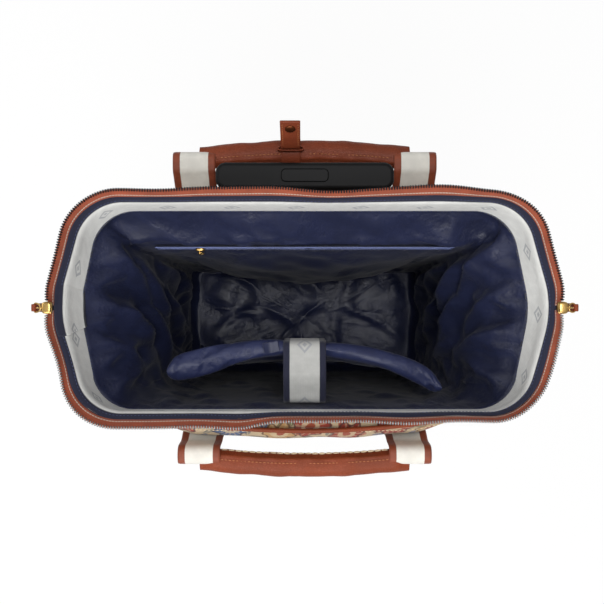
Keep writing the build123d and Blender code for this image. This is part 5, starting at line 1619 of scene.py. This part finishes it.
class BackpackTrolley(bpy.types.Operator):
    """Cloth cover over the trolley tubes with piped edges, and the finishes of tubes, grip and wheels"""

    bl_idname = "backpack.trolley"
    bl_label = "Trolley and wheels"
    dressed = {
        "grip plastic": "trolley_grip grip_base trolley_bezel tube_foot middle_collars middle_plugs lock_plugs"
        " wheel_housings front_feet strap_adjusters",
        "hub plastic": "release_button left_wheel_hub right_wheel_hub",
        "tube metal": "outer_tubes middle_tubes upper_tubes",
        "frame steel": "front_mouth_frame rear_mouth_frame wheel_axles release_rods",
        "tyre rubber": "left_tyre right_tyre",
        "gold fitting": "badge_plate",
        "pressed board": "base_board back_board",
    }

    def execute(self, context):
        finish_set(context.scene)
        half, back, face = COVER_HIGH[0], COVER_LOW[1] + 0.1, COVER_HIGH[1]
        foot, head = COVER_LOW[2], COVER_HIGH[2]
        line = bent([(-half, back), (-half, face), (half, face), (half, back)], 12.0, 120)
        z = np.linspace(head, foot, 80)[:, None]
        x, y = line[None, :, 0], line[None, :, 1]
        sag = ripple(x, z, 61, 40.0, 120.0) * soft_fall(z, head - 24.0, head) * soft_step(z, foot, foot + 24.0)
        y = y - soft_step(y, 104.0, 128.0) * (0.7 + 0.7 * np.abs(sag))
        cover = put("trolley_sleeve", coords(x, y, z), turned=True)
        hollowed(cover, 1.6, 0.0)
        placed(cover, "tapestry cloth", "trolley_cover")
        for name, side in (("left", -1), ("right", 1)):
            path = coords(side * (half + 0.6), back + 1.6, np.linspace(foot, head, 60))
            placed(corded("trolley_piping_" + name, path, oval(3.2, 3.2, 12), Y), "brown leather")
        for finish, nodes in self.dressed.items():
            for node in nodes.split():
                for place in frame["nodes"][node].material_slots:
                    place.material = bpy.data.materials[finish]
        self.spring(context.scene.backpack_sizes.spring_wire / MM)
        return {"FINISHED"}

    def spring(self, wire, turns=4):
        """Coil under the release button: a round wire carried along a helix. The share of its length left with
        the button pressed is worked out but not used.
        """
        low, high = np.asarray(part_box("button_spring"), float) / MM
        middle = (low + high) / 2
        radius = (high[0] - low[0] - wire) / 2
        turn = np.linspace(0, TURN * turns, 24 * turns + 1)
        climb = np.linspace(low[2] + wire / 2, high[2] - wire / 2, len(turn))
        path = coords(middle[0] + radius * np.cos(turn), middle[1] + radius * np.sin(turn), climb)
        coil = corded("button_coil", path, oval(wire, wire, 8))
        placed(coil, "frame steel", "button_spring", body="upper_stage")
        press = next(j for j in frame["record"]["behaviour"]["joints"] if j["name"] == "release_button_press")
        left = 1 - abs(press["range_m"][1]) / float((high[2] - low[2]) * MM)
        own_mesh(coil)


class BackpackStage(bpy.types.Operator):
    """Pale floor, soft studio light and a camera straight above the open mouth"""

    bl_idname = "backpack.stage"
    bl_label = "Stage"
    lamps = (
        ("front_softbox", (-0.25, -1.35, 1.75), (0.0, 0.02, 0.36), 1.3, 30.0),
        ("top_softbox", (0.12, 0.05, 2.1), (0.0, 0.0, 0.3), 0.7, 15.0),
        ("side_softbox", (-1.5, 0.5, 1.3), (0.0, 0.0, 0.3), 1.0, 7.0),
    )
    eye_place = (-0.0025, 0.005, 1.045)
    eye_lens = 41.8

    def execute(self, context):
        scene = context.scene
        self.floor()
        self.surroundings(scene)
        for name, place, aim, size, power in self.lamps:
            light = bpy.data.lights.new(name, "AREA")
            light.size, light.energy = size, power
            lamp = self.stood(scene, name, light, place)
            gaze = np.asarray(aim) - np.asarray(place)
            tilt = np.arctan2(np.hypot(gaze[0], gaze[1]), -gaze[2])
            lamp.rotation_euler = (float(tilt), 0.0, float(np.arctan2(-gaze[0], gaze[1])))
        lens = bpy.data.cameras.new("above")
        lens.sensor_width, lens.lens, lens.clip_start = 36.0, self.eye_lens, 0.02
        scene.camera = self.stood(scene, "above", lens, self.eye_place)
        scene.view_settings.view_transform = "Standard"
        return {"FINISHED"}

    def stood(self, scene, name, data, place):
        """A lamp or camera put at a place."""
        thing = bpy.data.objects.new(name, data)
        scene.collection.objects.link(thing)
        thing.location = place
        return thing

    def floor(self):
        """Wide pale sheet that the camera and glossy pieces see as nearly white."""
        spread = np.linspace(-2600.0, 2600.0, 9)
        sheet = put("floor", coords(spread[None], spread[:, None], -0.2))
        b = Board("pale floor")
        cloud = b.noise(b.place(), 3.0, 2.0)
        b.finish(b.mixed(cloud, (0.90, 0.90, 0.90), (0.93, 0.93, 0.93)), 0.9)
        seen = b.node("ShaderNodeLightPath", out="Is Camera Ray")
        glow = b.node("ShaderNodeEmission", inputs={"Color": (1.0, 1.0, 1.0, 1.0), "Strength": 1.0})
        shown = (seen + seen.also("Is Glossy Ray")).lower(1.0) * 0.92
        inputs = {0: shown, 1: Wire(b, b.shader.outputs[0]), 2: glow}
        b.feed(b.tree.nodes["Material Output"].inputs["Surface"], b.node("ShaderNodeMixShader", inputs=inputs))
        sheet.data.materials.append(b.material)

    def surroundings(self, scene):
        """Weak white light from all round, and plain white where the camera sees past the floor."""
        scene.world = scene.world or bpy.data.worlds.new("studio")
        scene.world.use_nodes = True
        nodes, links = scene.world.node_tree.nodes, scene.world.node_tree.links
        dim, white = nodes["Background"], nodes.new("ShaderNodeBackground")
        for glow, power in ((dim, 0.32), (white, 1.0)):
            glow.inputs["Color"].default_value = (1.0, 1.0, 1.0, 1.0)
            glow.inputs["Strength"].default_value = power
        seen, either = nodes.new("ShaderNodeLightPath"), nodes.new("ShaderNodeMixShader")
        for number, socket in enumerate((seen.outputs["Is Camera Ray"], dim.outputs[0], white.outputs[0])):
            links.new(socket, either.inputs[number])
        links.new(either.outputs[0], nodes["World Output"].inputs["Surface"])


class BackpackPanel(bpy.types.Panel):
    """Lists the pieces of the backpack"""

    bl_idname = "VIEW3D_PT_backpack"
    bl_label = "Rolling backpack"
    bl_space_type = "VIEW_3D"
    bl_region_type = "UI"
    bl_category = "Backpack"

    def draw(self, context):
        column = self.layout.column()
        for piece in PIECES:
            column.operator(piece.bl_idname, text=piece.bl_label)
        for group in ("backpack_sizes", "backpack_colours"):
            held = getattr(context.scene, group)
            for key in held.__annotations__:
                column.prop(held, key)


PIECES = (
    BackpackShell,
    BackpackBase,
    BackpackPouch,
    BackpackLining,
    BackpackMouthTape,
    BackpackZip,
    BackpackSliders,
    BackpackWallPocket,
    BackpackSleeve,
    BackpackHandles,
    BackpackStraps,
    BackpackTrolley,
    BackpackStage,
)
GROUPS = (BackpackSizes, BackpackColours)


def register():
    for group in (*GROUPS, *PIECES, BackpackPanel):
        bpy.utils.register_class(group)
    bpy.types.Scene.backpack_sizes = bpy.props.PointerProperty(type=BackpackSizes)
    bpy.types.Scene.backpack_colours = bpy.props.PointerProperty(type=BackpackColours)


def unregister():
    del bpy.types.Scene.backpack_sizes
    del bpy.types.Scene.backpack_colours
    for group in reversed((*GROUPS, *PIECES, BackpackPanel)):
        bpy.utils.unregister_class(group)


def main():
    register()
    for piece in PIECES:
        family, step = piece.bl_idname.split(".")
        getattr(getattr(bpy.ops, family), step)()


if __name__ == "__main__":
    main()
